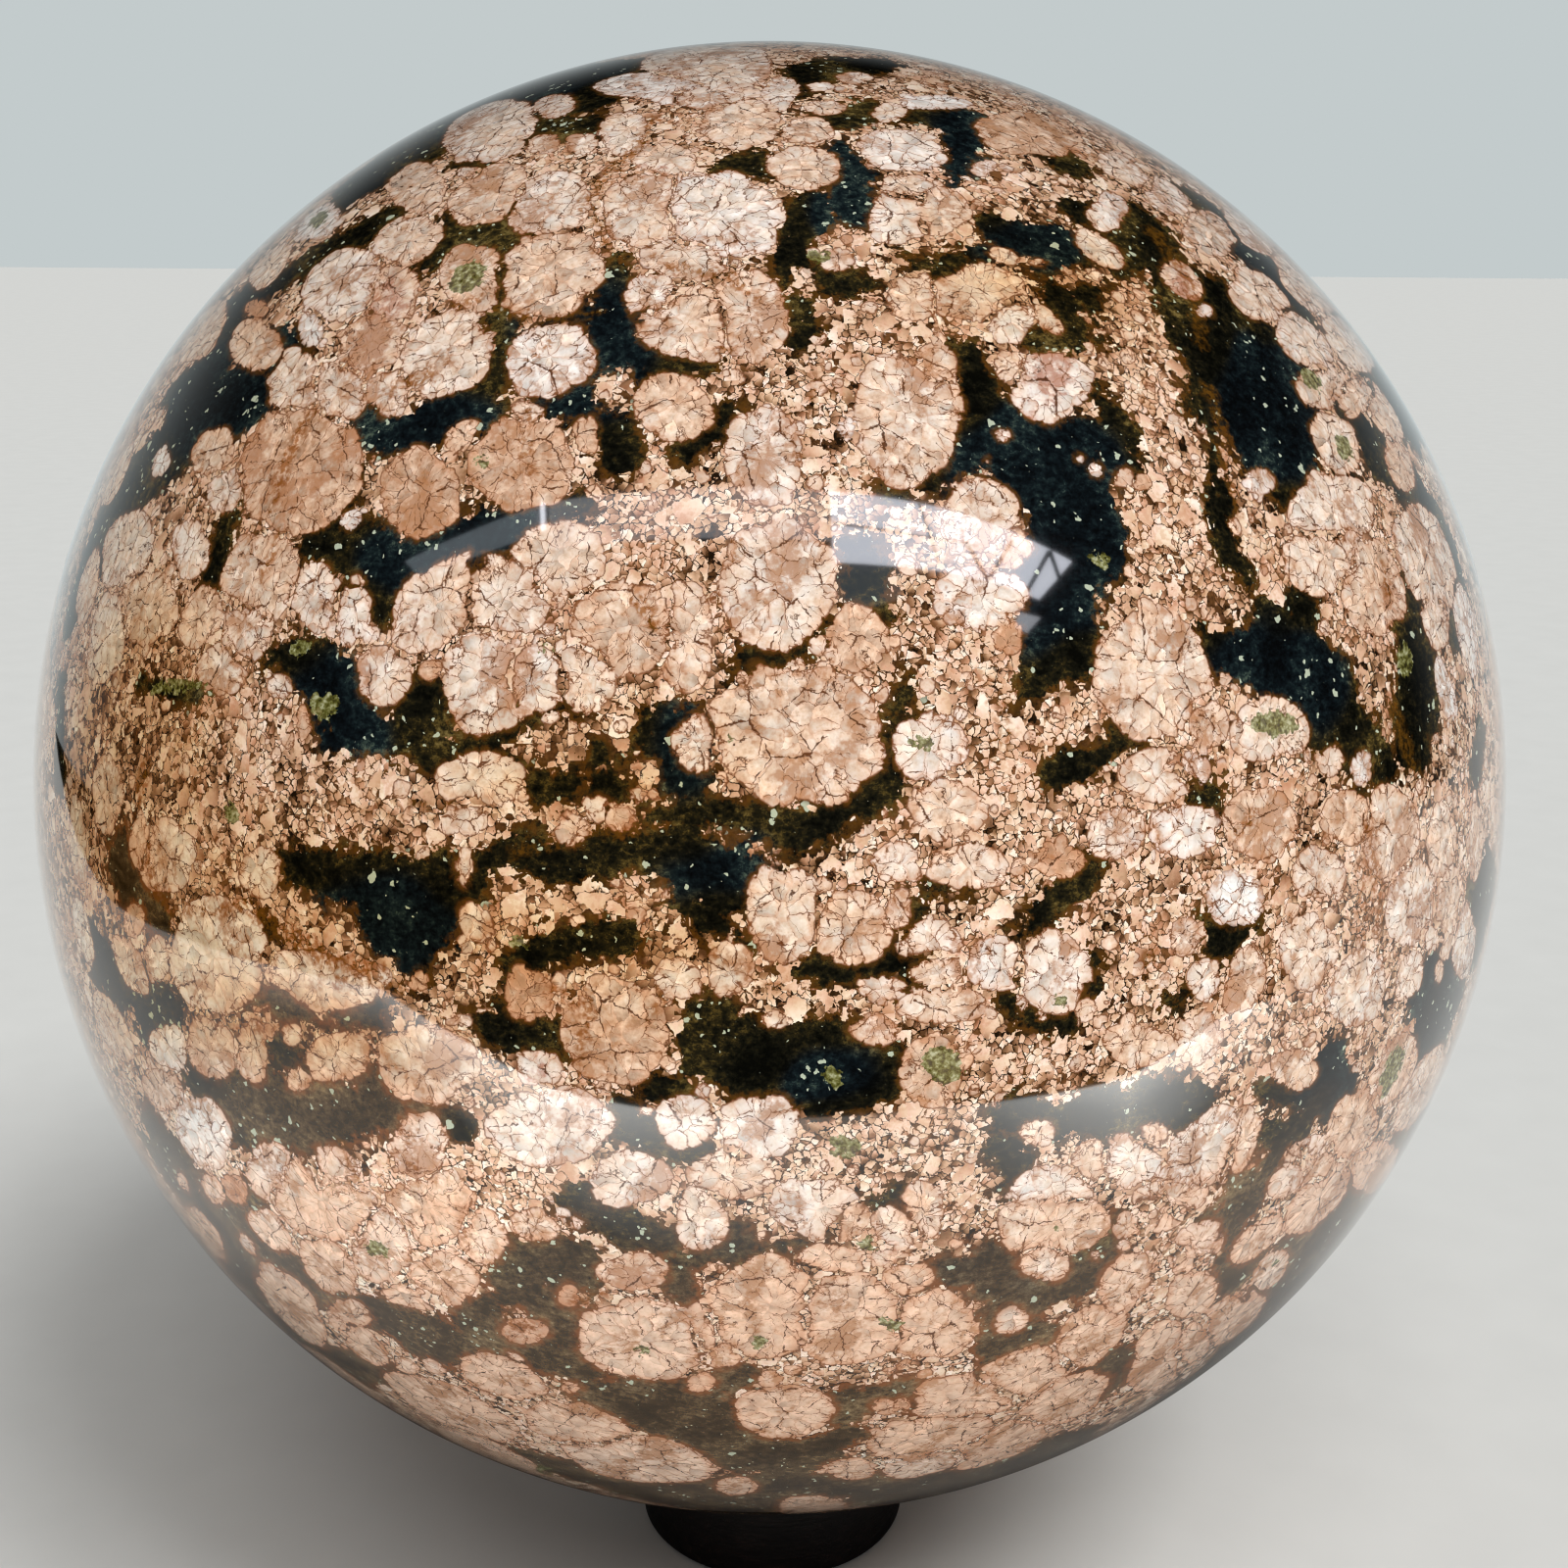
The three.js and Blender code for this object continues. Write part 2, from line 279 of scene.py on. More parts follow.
# Dark pools: chains of stations, each place across and down and half width.
poolMarks = [
    # upper middle
    [(375, 430, 22), (420, 440, 22), (470, 415, 25), (500, 425, 14)],
    [(405, 590, 28), (440, 565, 25), (500, 545, 25), (560, 520, 14), (590, 512, 6)],
    [(345, 505, 12), (345, 545, 26), (385, 560, 26), (400, 600, 20)],
    [(560, 412, 14), (600, 408, 16), (632, 440, 20), (640, 475, 14)],
    [(700, 455, 8), (725, 440, 14), (745, 425, 10)], [(425, 690, 10), (425, 720, 26), (450, 745, 12)],
    [(440, 765, 14), (500, 757, 9), (545, 742, 15), (592, 720, 13)],
    [(600, 770, 16), (585, 785, 18), (560, 797, 16)], [(505, 762, 7), (530, 785, 7), (550, 800, 7)],
    [(670, 735, 14), (690, 760, 30), (700, 790, 30)], [(665, 765, 20), (645, 795, 18), (610, 805, 10)],
    [(745, 675, 6), (790, 665, 12), (840, 645, 6)], [(880, 570, 18), (890, 600, 22), (905, 620, 15)],
    [(915, 500, 16), (960, 480, 20), (990, 450, 30)],
    [(990, 420, 18), (1030, 450, 40), (1080, 480, 50), (1100, 540, 45), (1080, 600, 45), (1080, 660, 40),
     (1060, 700, 20)],
    [(925, 705, 14), (915, 745, 12), (905, 780, 20), (890, 805, 16)],
    [(1085, 790, 14), (1110, 770, 22), (1140, 745, 10), (1165, 760, 4)],
    # top
    [(380, 185, 8), (420, 150, 12), (460, 125, 12), (500, 100, 10), (560, 85, 10), (620, 78, 10),
     (640, 68, 6)],
    [(600, 100, 14)], [(550, 122, 8), (575, 132, 12), (600, 135, 8)],
    [(470, 165, 4), (490, 163, 7), (510, 155, 5)],
    [(455, 222, 6), (470, 235, 18), (510, 232, 20), (530, 225, 14)], [(440, 262, 10), (455, 250, 14)],
    [(520, 255, 10), (513, 290, 4), (505, 300, 6)],
    [(500, 310, 5), (520, 335, 12), (510, 365, 16), (490, 395, 16), (470, 410, 10)],
    [(560, 332, 5), (600, 322, 5)],
    [(625, 275, 10), (625, 300, 16), (630, 335, 20), (615, 365, 16), (600, 395, 16)],
    [(640, 360, 14), (670, 370, 14), (705, 370, 12), (720, 368, 6)],
    [(735, 172, 5), (755, 168, 12), (790, 180, 5)], [(795, 260, 8), (800, 290, 6)],
    [(890, 65, 6), (860, 68, 8), (830, 75, 10), (820, 95, 10)],
    [(840, 120, 8), (870, 118, 12), (890, 110, 6)],
    [(930, 118, 8), (960, 120, 10), (985, 125, 14), (985, 150, 16), (975, 175, 10), (975, 190, 8)],
    [(860, 150, 8), (870, 180, 20), (865, 205, 18), (870, 225, 12)],
    [(830, 205, 14), (835, 225, 16), (810, 250, 14), (800, 270, 10)], [(850, 285, 12), (870, 290, 10)],
    [(815, 310, 10), (825, 335, 10), (810, 345, 6)],
    [(935, 270, 8), (955, 275, 6), (975, 265, 8), (1000, 258, 8)],
    [(1015, 235, 10), (1040, 245, 14), (1075, 250, 18), (1100, 262, 12), (1050, 275, 5)],
    [(1100, 215, 8), (1145, 230, 10), (1150, 250, 14), (1145, 280, 14)],
    [(1075, 300, 6), (1090, 320, 14), (1095, 350, 14), (1060, 345, 8)],
    [(1165, 230, 16), (1190, 270, 16), (1200, 320, 10)],
    [(960, 355, 4), (985, 365, 12), (1000, 390, 16), (990, 420, 18)], [(1090, 165, 10)],
    # upper left
    [(355, 200, 8), (385, 175, 9), (400, 160, 8)],
    [(330, 258, 12), (350, 250, 10), (380, 230, 10), (395, 220, 8)],
    [(350, 265, 8), (315, 265, 6), (290, 285, 5), (265, 298, 7), (245, 298, 11)],
    [(235, 300, 12), (240, 320, 9), (230, 345, 12), (215, 375, 16), (200, 400, 20), (180, 395, 10)],
    [(235, 280, 8)],
    [(270, 380, 28), (240, 410, 26), (205, 430, 26), (170, 460, 18), (130, 500, 14), (100, 555, 12),
     (78, 610, 8), (68, 640, 3)],
    [(62, 700, 3), (62, 750, 4), (60, 790, 5)], [(235, 525, 8), (222, 555, 10), (218, 590, 8)],
    [(330, 520, 12), (320, 555, 14), (350, 560, 24), (385, 575, 30), (390, 610, 16)],
    [(275, 670, 10), (300, 672, 22), (340, 690, 26), (345, 735, 24), (385, 752, 20), (430, 745, 20)],
    [(145, 700, 5), (180, 705, 8), (212, 708, 6)],
    # upper right
    [(1112, 300, 7), (1128, 325, 9), (1125, 350, 7)], [(1120, 395, 7), (1132, 422, 12), (1148, 440, 8)],
    [(1110, 440, 16), (1145, 470, 16), (1160, 485, 8)],
    [(1212, 350, 10), (1225, 390, 14), (1238, 430, 14), (1242, 455, 10)],
    [(1215, 290, 18), (1250, 330, 36), (1280, 380, 50), (1290, 430, 44), (1310, 470, 28)],
    [(1262, 250, 8), (1285, 265, 10), (1305, 285, 9), (1318, 305, 7), (1325, 325, 5)],
    [(1230, 210, 6), (1242, 222, 5)], [(1405, 380, 7), (1415, 395, 8)],
    [(1240, 440, 10), (1240, 480, 8), (1238, 520, 16), (1255, 555, 10), (1270, 590, 8)],
    [(1245, 650, 30), (1290, 665, 45), (1340, 700, 45), (1375, 750, 30), (1410, 775, 20)],
    [(1320, 600, 8), (1330, 620, 16)],
    [(1437, 610, 10), (1445, 650, 16), (1448, 700, 22), (1440, 745, 18), (1448, 775, 8)],
    [(1380, 430, 8), (1400, 455, 14), (1425, 490, 8), (1450, 505, 8), (1475, 545, 6), (1485, 590, 8),
     (1487, 640, 8)],
    [(1372, 490, 6), (1385, 505, 12), (1392, 520, 4)], [(1512, 750, 3), (1505, 785, 5)],
    # centre band
    [(500, 880, 12), (540, 870, 18), (600, 875, 20), (650, 870, 20), (700, 880, 35), (740, 890, 38),
     (765, 900, 20)],
    [(660, 830, 10), (720, 830, 18), (780, 840, 18), (830, 850, 16)],
    [(700, 930, 20), (740, 950, 14), (760, 965, 6)],
    [(300, 892, 16), (350, 898, 28), (400, 908, 36), (450, 905, 32), (485, 890, 18)],
    [(400, 930, 40), (430, 945, 38), (425, 980, 20)], [(270, 945, 12)],
    [(520, 985, 10), (560, 970, 16), (600, 960, 18), (640, 955, 10)],
    [(490, 1035, 12), (520, 1050, 22), (560, 1060, 18)],
    [(715, 1030, 14), (730, 1070, 34), (790, 1085, 38), (850, 1090, 45), (900, 1090, 34)],
    [(665, 1115, 8), (700, 1110, 6)], [(405, 1125, 12), (440, 1140, 14), (470, 1150, 14)],
    [(640, 1125, 10), (645, 1150, 20), (720, 1185, 14)],
    [(810, 855, 16), (840, 840, 16), (870, 820, 16), (900, 805, 12)],
    [(935, 930, 8), (950, 910, 4), (990, 908, 3), (1010, 893, 5)],
    [(805, 990, 8), (850, 988, 13), (895, 985, 20), (920, 980, 20), (925, 1003, 12)],
    [(1130, 870, 4), (1105, 890, 12), (1080, 915, 12), (1065, 940, 8), (1045, 950, 5)],
    [(1025, 1015, 8), (1040, 1035, 8), (1065, 1045, 8), (1090, 1040, 12), (1110, 1010, 8), (1115, 980, 8)],
    [(1030, 1135, 14), (1080, 1140, 20), (1130, 1130, 24), (1180, 1125, 24), (1220, 1130, 20)],
    [(1020, 1175, 10), (1040, 1190, 14)],
    # left
    [(125, 850, 8), (120, 885, 12), (140, 915, 14), (165, 940, 14), (175, 950, 6)],
    [(100, 980, 14), (140, 1010, 16), (170, 1030, 14), (150, 1055, 8)],
    [(255, 1020, 10), (290, 1022, 16), (330, 1035, 12), (380, 1030, 16)], [(290, 1075, 14)],
    [(200, 1105, 10), (240, 1130, 26), (290, 1135, 36), (340, 1135, 32), (385, 1135, 24), (380, 1110, 20)],
    [(160, 1160, 8), (175, 1180, 12), (185, 1200, 10)],
    # right
    [(1235, 812, 12), (1245, 825, 5)], [(1235, 945, 6), (1240, 965, 14), (1265, 950, 12), (1285, 940, 6)],
    [(1210, 1010, 6), (1200, 1022, 10)], [(1385, 808, 8)], [(1508, 905, 8), (1512, 930, 10), (1510, 960, 4)],
    [(1465, 975, 6), (1460, 1010, 16), (1475, 1030, 14), (1465, 1060, 12)],
    [(1360, 1075, 12), (1350, 1100, 20), (1365, 1115, 16), (1345, 1125, 10)],
    [(1290, 1110, 8), (1320, 1118, 12), (1340, 1120, 10)],
    [(1290, 1150, 10), (1315, 1160, 18), (1300, 1190, 12)], [(1405, 1140, 6)],
    # lower middle
    [(515, 1275, 16), (545, 1290, 22), (580, 1290, 24), (600, 1275, 10)],
    [(520, 1310, 18), (560, 1330, 18), (600, 1350, 16), (570, 1355, 20)],
    [(500, 1330, 14), (480, 1355, 18), (540, 1378, 16), (590, 1392, 18)],
    [(400, 1350, 14), (430, 1365, 20), (470, 1365, 16)],
    [(600, 1420, 12), (640, 1430, 22), (690, 1440, 30), (735, 1455, 30), (760, 1485, 18), (820, 1485, 16)],
    [(690, 1300, 16), (705, 1325, 10)], [(740, 1260, 16), (760, 1270, 14), (700, 1285, 12)],
    [(600, 1230, 20), (640, 1255, 18), (680, 1265, 14)], [(740, 1405, 12), (762, 1400, 8)],
    [(945, 1300, 8), (975, 1295, 16), (1005, 1290, 20), (1020, 1310, 24), (1050, 1325, 22),
     (1090, 1310, 20), (1120, 1290, 16), (1135, 1265, 10), (1145, 1245, 8)],
    [(1020, 1340, 18), (1010, 1375, 18), (1030, 1385, 12), (1055, 1360, 14)],
    [(1110, 1420, 16), (1130, 1400, 16), (1150, 1395, 12), (1170, 1375, 6), (1185, 1365, 3)],
    [(860, 1440, 14), (880, 1430, 16), (900, 1420, 12), (925, 1415, 10), (935, 1440, 8)],
    [(840, 1475, 14), (862, 1465, 10)],
    [(700, 1515, 8), (800, 1515, 12), (850, 1520, 10), (900, 1515, 12), (950, 1520, 10), (1000, 1510, 10),
     (1050, 1490, 8), (1090, 1470, 6)],
    [(890, 1228, 5), (920, 1220, 12)], [(1025, 1210, 8), (1035, 1215, 6)], [(800, 1270, 6), (845, 1272, 6)],
    [(540, 1488, 6), (580, 1500, 8), (620, 1512, 8), (690, 1530, 8), (760, 1538, 8)],
    # lower left
    [(160, 1180, 6), (200, 1230, 11), (235, 1278, 10), (250, 1300, 12), (275, 1330, 8), (300, 1355, 8),
     (330, 1380, 6)],
    [(215, 1220, 10), (235, 1240, 14), (265, 1280, 16), (300, 1300, 14), (345, 1330, 12), (390, 1345, 16),
     (410, 1335, 12)],
    [(255, 1225, 12)], [(340, 1390, 6), (380, 1395, 8), (400, 1400, 6)],
    # lower right
    [(1262, 1205, 12), (1270, 1220, 20), (1250, 1240, 14), (1258, 1270, 8), (1250, 1290, 8)],
    [(1245, 1300, 8), (1265, 1305, 10), (1275, 1290, 6)],
    [(1430, 1170, 8), (1390, 1230, 14), (1365, 1255, 16), (1335, 1285, 16), (1310, 1320, 14),
     (1285, 1350, 10), (1250, 1385, 10), (1215, 1410, 8)],
]

# Olive-green inclusions: place, half length, half width and turn.
greenMarks = [
    (477, 282, 20, 14, -40), (942, 757, 12, 10), (1300, 738, 26, 12), (1372, 458, 8, 14, -25),
    (1434, 675, 8, 18), (527, 962, 10, 8), (962, 1087, 22, 18, 35), (863, 1170, 18, 10, 15),
    (850, 1100, 12, 10), (1122, 572, 10, 10), (235, 830, 8, 10), (1420, 1092, 8, 28, 22),
    (325, 225, 11, 6, -45), (1337, 388, 14, 8, 50), (385, 1275, 12, 9), (835, 262, 10, 6), (910, 1350, 12, 7),
    (1080, 1253, 5, 4), (885, 1270, 9, 6, -30), (490, 470, 8, 6), (330, 720, 16, 12), (305, 660, 10, 8),
    (180, 700, 26, 7), (560, 660, 8, 7), (742, 752, 6, 4), (775, 1370, 6, 9, -30), (656, 1378, 9, 4),
    (1085, 1020, 8, 6), (1300, 1288, 6, 4), (555, 1500, 8, 4, 15),
]
# Where the dark ground is navy and not brown.
navyMarks = [
    (1060, 530, 110, 130), (1300, 420, 60, 80, -30), (1300, 690, 80, 60, 20), (420, 430, 80, 40),
    (470, 560, 110, 50, -10), (240, 400, 90, 50, -40), (985, 150, 40, 60), (865, 190, 40, 60),
    (600, 360, 70, 80), (390, 950, 90, 60), (740, 890, 60, 30), (1360, 1100, 50, 50), (420, 1365, 60, 30, 20),
    (1000, 1300, 60, 40), (700, 760, 40, 50), (560, 90, 120, 30, -20), (1290, 270, 60, 30, 45),
    (690, 1440, 90, 40, 10), (1150, 1390, 50, 30, -30), (340, 720, 60, 60), (230, 1270, 90, 30, 50),
    (850, 1100, 60, 30), (1050, 250, 60, 30), (1460, 1020, 30, 60),
]
brownMarks = [(330, 1130, 120, 45), (290, 1022, 90, 28, 12), (140, 900, 35, 80), (1265, 1215, 50, 40, -30)]
# Rusty veins and stains: chains like the pools.
rustMarks = [
    [(318, 420, 5), (300, 455, 8), (285, 490, 8), (278, 520, 4)],
    [(285, 545, 4), (272, 580, 6), (262, 600, 4)], [(150, 780, 7), (140, 815, 6)],
    [(150, 870, 5), (155, 905, 6), (175, 930, 5)], [(375, 835, 3), (420, 828, 5), (460, 822, 4)],
    [(668, 120, 5), (650, 150, 5), (630, 170, 7), (610, 190, 7), (590, 215, 6)],
    [(665, 262, 5), (700, 275, 8), (745, 285, 7), (775, 305, 5)],
    [(600, 210, 6), (615, 235, 6), (625, 258, 6)], [(440, 318, 4), (475, 310, 6), (500, 295, 4)],
    [(510, 312, 4), (540, 326, 5), (580, 326, 5), (610, 318, 4)],
    [(400, 395, 5), (430, 385, 9), (455, 365, 5)], [(545, 365, 4), (560, 352, 5), (580, 345, 3)],
    [(540, 420, 4), (535, 450, 6), (540, 480, 8)], [(720, 362, 4), (750, 355, 5)],
    [(825, 400, 5), (830, 385, 4)], [(775, 535, 5), (755, 545, 4), (745, 580, 5), (735, 610, 4)],
    [(805, 450, 3), (815, 475, 5)], [(655, 615, 10), (670, 640, 9)],
    [(605, 848, 9), (645, 845, 7), (680, 850, 4)], [(520, 870, 6), (560, 862, 7)],
    [(385, 990, 8), (340, 982, 12), (300, 955, 12), (255, 925, 9), (190, 932, 6)],
    [(345, 1005, 5), (380, 1000, 5), (420, 1015, 4)], [(560, 1005, 9), (600, 1030, 8), (590, 1090, 6)],
    [(660, 1045, 6), (680, 1015, 5)], [(720, 970, 5), (760, 990, 5), (800, 1010, 5)],
    [(1398, 845, 5), (1402, 880, 8), (1408, 920, 7), (1405, 950, 5)], [(1175, 955, 4), (1172, 990, 7)],
    [(1275, 835, 9), (1262, 855, 5)], [(1412, 575, 4), (1416, 605, 5)], [(892, 520, 4), (902, 572, 5)],
    [(987, 528, 4), (960, 585, 5)], [(1180, 240, 6), (1215, 290, 6), (1225, 350, 5)],
    [(1235, 400, 6), (1262, 520, 5)], [(1420, 720, 6), (1440, 780, 6)], [(520, 1345, 8), (545, 1360, 6)],
    [(590, 1330, 8), (612, 1318, 6)], [(410, 1150, 5), (420, 1190, 6)], [(1390, 880, 5), (1385, 1000, 5)],
    [(860, 905, 5), (890, 880, 5)], [(470, 470, 5), (490, 500, 4)], [(760, 700, 6), (790, 690, 6)],
    [(1010, 700, 4), (1030, 735, 5), (1015, 770, 5)], [(240, 1050, 6), (290, 1045, 5)],
    [(350, 1165, 5), (365, 1220, 5)], [(470, 1230, 5), (480, 1290, 5)],
]
# Where the whole stone is a shade browner.
tanMarks = [
    (150, 830, 70, 200), (420, 930, 320, 80, 10), (270, 1035, 210, 95, 30), (600, 800, 140, 60),
    (1060, 290, 110, 50, 10),
]
# Where the stone is painted paler and brighter, low on the left: painted light.
paintedLightMarks = [(400, 1210, 150, 100, 20), (250, 1180, 60, 120, -30)]
print("marks:", len(blossomMarks), "blossoms,", len(poolMarks), "pools,", len(greenMarks), "green grains")


stoneBall = {
    "cells": 126,  # along each side of the six grids
    "squeeze": 0.72,  # the grid is this much denser where the photo looks at it
    "hiddenAngle": 74.0,  # degrees from the camera past which the pattern is made up
    "hiddenBlend": (60, 6),  # degrees from the camera past which wide colours are made up, and how fast
    "hiddenBlossoms": 600,
    "hiddenKinds": {"": 0.66, "b": 0.1, "r": 0.1, "o": 0.07, "w": 0.07},
    "whitishRadius": 3.2,  # millimetres: no larger blossom is whitish
    "hiddenPools": 105,
    "hiddenRusts": 45,
    "hiddenGreens": 60,
    "blossomRadius": (0.9, 5.6),  # millimetres
    "greenRadius": (0.25, 1.1),
    "stationStep": (2.5, 5.0),  # from one station of a chain to the next
    "poolChain": (0.7, 3.4, 7),  # the least and greatest half width, and fewer stations than this
    "rustChain": (0.2, 0.6, 4),
    "poolSwell": 0.22,  # millimetres: the marks were read a little narrow
    # How far each wanders, over what length in millimetres, and its seed.
    "edgeWander": (0.3, 3.4, 21),
    "bulgeWander": (0.14, 2.6, 22),
    "navyWander": (0.6, 24, 33),
    "tanWander": (0.3, 30, 35),
    "cloudWander": ((0.2, 4, 32), (0.2, 1.9, 34)),
    "wideFades": (3, 2, 8, 6),  # millimetres over which navy, brown, tan and painted-light places fade
    "tintFade": 1.5,  # and over which a blossom's tint does
    "swellHeights": (0.01, 0.035),  # of a blossom's mean radius
    "blossomMargin": 4,  # millimetres past a blossom's end within which its depth is worked out
    "otherMargin": 9,
    "farOutside": -9.0,  # the depth where no mark is near
    "seed": 11,
    "swellSeed": 5,
    "toneSeed": 8,
    "chartSeed": 9,
}
ballMm = ballRadius / metresPerMm
towardsCamera = unit(cameraPlace - ballCentre)


# Directions of a cube's surface grid: every corner coordinate c in -1..1 becomes tan(45 deg * c), so that the
# cells are even, and the result is made unit length. Then the angle t from the camera becomes
# 2 * atan(squeeze * tan(t / 2)), which draws the cells together there and keeps them square.
def ballGrid(cells, squeeze):
    frontAxis = towardsCamera
    sideAxis = unit(np.cross([0.0, 0.0, 1.0], frontAxis))
    axes = np.array([sideAxis, frontAxis, np.cross(frontAxis, sideAxis) * -1])
    steps = np.arange(cells + 1) * 2 - cells
    first, second = np.meshgrid(steps, steps, indexing="ij")
    sheets, quads, atlas = [], [], []
    for index, (flat, sign) in enumerate(((1, 1), (0, 1), (0, -1), (2, 1), (2, -1), (1, -1))):
        corner = np.empty((cells + 1, cells + 1, 3), int)
        corner[..., flat] = sign * cells
        corner[..., (flat + 1) % 3] = first
        corner[..., (flat + 2) % 3] = second
        number = np.arange((cells + 1) ** 2).reshape(cells + 1, cells + 1) + index * (cells + 1) ** 2
        ring = [number[:-1, :-1], number[1:, :-1], number[1:, 1:], number[:-1, 1:]]
        quads.append(np.stack(ring if sign > 0 else ring[::-1], -1).reshape(-1, 4))
        low = np.stack([first[:-1, :-1], second[:-1, :-1]], -1)
        turn = [(0, 0), (2, 0), (2, 2), (0, 2)]
        local = np.stack([low + np.array(t) for t in (turn if sign > 0 else turn[::-1])], -2)
        atlas.append(((local + cells) / (2 * cells)).reshape(-1, 4, 2))
        sheets.append(corner.reshape(-1, 3))
    whole, where = np.unique(np.concatenate(sheets), axis=0, return_inverse=True)
    spread = unit(np.tan(whole / cells * math.pi / 4))
    angle = np.arccos(np.clip(spread[:, 1], -1, 1))
    drawn = 2 * np.arctan(squeeze * np.tan(np.minimum(angle, math.pi - 1e-9) / 2))
    aside = spread.copy()
    aside[:, 1] = 0
    reach = np.linalg.norm(aside, axis=1, keepdims=True)
    aside = np.divide(aside, reach, out=np.zeros_like(aside), where=reach > 1e-12)
    local = aside * np.sin(drawn)[:, None]
    local[:, 1] = np.cos(drawn)
    return local @ axes, where.reshape(-1)[np.concatenate(quads)], atlas


# Six panels packed into the unit square for the bake: the grid that faces the camera gets the biggest one.
def bakeLayout(atlas):
    panels = ((0.0, 0.0, 0.6, 0.6), (0.6, 0.0, 0.4, 0.3), (0.6, 0.3, 0.4, 0.3), (0.0, 0.6, 1 / 3, 0.4),
              (1 / 3, 0.6, 1 / 3, 0.4), (2 / 3, 0.6, 1 / 3, 0.4))
    margin = 0.004
    placed = [np.array([x, y]) + margin + square * (np.array([w, h]) - 2 * margin)
              for square, (x, y, w, h) in zip(atlas, panels)]
    return np.concatenate(placed).reshape(-1, 2)


# Photo pixels onto the ball: the direction from the ball's centre to where the line of sight meets it first,
# or to where it passes closest, for a pixel just off the ball.
def ontoBall(pixels):
    pixels = np.asarray(pixels, float)
    ray = unit(viewForward * focalPixels + viewRight * (pixels[..., :1] - frameSize / 2)
               - viewUp * (pixels[..., 1:2] - frameSize / 2))
    fromCentre = cameraPlace - ballCentre
    along = ray @ fromCentre
    depth = along ** 2 - (fromCentre @ fromCentre - ballRadius ** 2)
    distance = -along - np.sqrt(np.maximum(depth, 0))
    return unit(fromCentre + ray * distance[..., None])


# An ellipse of the photo as one on the ball: its two half axes are half the chords between their ends.
def ontoBallEllipse(x, y, halfLength, halfWidth, turn=0.0):
    cosine, sine = math.cos(math.radians(turn)), math.sin(math.radians(turn))
    ends = ontoBall([[x + halfLength * cosine, y + halfLength * sine],
                     [x - halfLength * cosine, y - halfLength * sine],
                     [x - halfWidth * sine, y + halfWidth * cosine],
                     [x + halfWidth * sine, y - halfWidth * cosine]])
    centre = unit(ends.mean(0))
    halves = np.array([ends[0] - ends[1], ends[2] - ends[3]]) / 2 * ballMm
    return centre, halves - (halves @ centre)[:, None] * centre


# The inverse of a mark's 2 x 2 table of products of its half axes.
def inverseTable(halves):
    return np.linalg.inv(halves @ halves.T + np.eye(2) * 1e-6)


# Offsets in millimetres from a mark's centre, laid flat round it, as parts of the mark's two half axes.
def insideMark(directions, centre, halves):
    cosine = np.clip(directions @ centre, -1, 1)
    flat = directions - cosine[:, None] * centre
    length = np.maximum(np.linalg.norm(flat, axis=1), 1e-9)
    flat = flat * (np.arccos(cosine) * ballMm / length)[:, None]
    return flat @ halves.T @ inverseTable(halves)


# Depth in millimetres inside an ellipse: (1 - q) over the slope of q, with q = 1 on the outline.
def ellipseDepth(parts, halves):
    q = np.maximum(np.linalg.norm(parts, axis=1), 1e-6)
    slope = np.sqrt(np.maximum(np.einsum("ni,ij,nj->n", parts, inverseTable(halves), parts), 1e-12)) / q
    return (1 - q) / np.maximum(slope, 1e-6)


# Smooth wandering over the ball: height * a sum, within about -1..1, of seeded plane waves of about one
# wavelength.
def wander(points, height, wavelength, seed, waves=18):
    draw = np.random.default_rng(seed)
    heading = unit(draw.normal(size=(waves, 3)))
    rate = 2 * math.pi / (wavelength * draw.uniform(0.75, 1.4, waves))
    phase = draw.uniform(0, 2 * math.pi, waves)
    return height * (np.sin(points @ heading.T * rate + phase).sum(1) / math.sqrt(waves))


# Seeded marks for the sides that the photo doesn't show, in the sizes and shares of the side that it does.
def hiddenMarks():
    draw = np.random.default_rng(stoneBall["seed"])
    limit = math.cos(math.radians(stoneBall["hiddenAngle"]))

    def hiddenPlaces(count):
        places = unit(draw.normal(size=(count * 4, 3)))
        return places[places @ towardsCamera < limit][:count]

    blossoms = []
    small, large = stoneBall["blossomRadius"]
    kinds = stoneBall["hiddenKinds"]
    for place in hiddenPlaces(stoneBall["hiddenBlossoms"]):
        radius = small + (large - small) * draw.beta(1.2, 2.3)
        side = unit(np.cross(place, draw.normal(size=3)))
        halves = np.array([side * radius * draw.uniform(1.0, 1.3),
                           np.cross(place, side) * radius * draw.uniform(0.8, 1.0)])
        kind = draw.choice(list(kinds), p=list(kinds.values()))
        blossoms.append((place, halves, kind if radius < stoneBall["whitishRadius"] or kind != "w" else ""))

    def hiddenChain(place, thin, wide, longest):
        heading = unit(np.cross(place, draw.normal(size=3)))
        stations = []
        for station in range(draw.integers(2, longest)):
            if place @ towardsCamera > limit:  # it has walked round into the photo's side
                break
            stations.append((place, thin + (wide - thin) * draw.beta(1.5, 1.6)))
            aside = np.cross(place, heading) * draw.normal() * 0.55
            heading = unit(heading - (heading @ place) * place + aside)
            place = unit(place + heading * draw.uniform(*stoneBall["stationStep"]) / ballMm)
        return stations

    pools = [hiddenChain(place, *stoneBall["poolChain"]) for place in hiddenPlaces(stoneBall["hiddenPools"])]
    rusts = [hiddenChain(place, *stoneBall["rustChain"]) for place in hiddenPlaces(stoneBall["hiddenRusts"])]
    greens = []
    for place in hiddenPlaces(stoneBall["hiddenGreens"]):
        radius = draw.uniform(*stoneBall["greenRadius"])
        side = unit(np.cross(place, draw.normal(size=3)))
        greens.append((place, np.array([side * radius * 1.3, np.cross(place, side) * radius * 0.8])))
    return blossoms, pools, rusts, greens


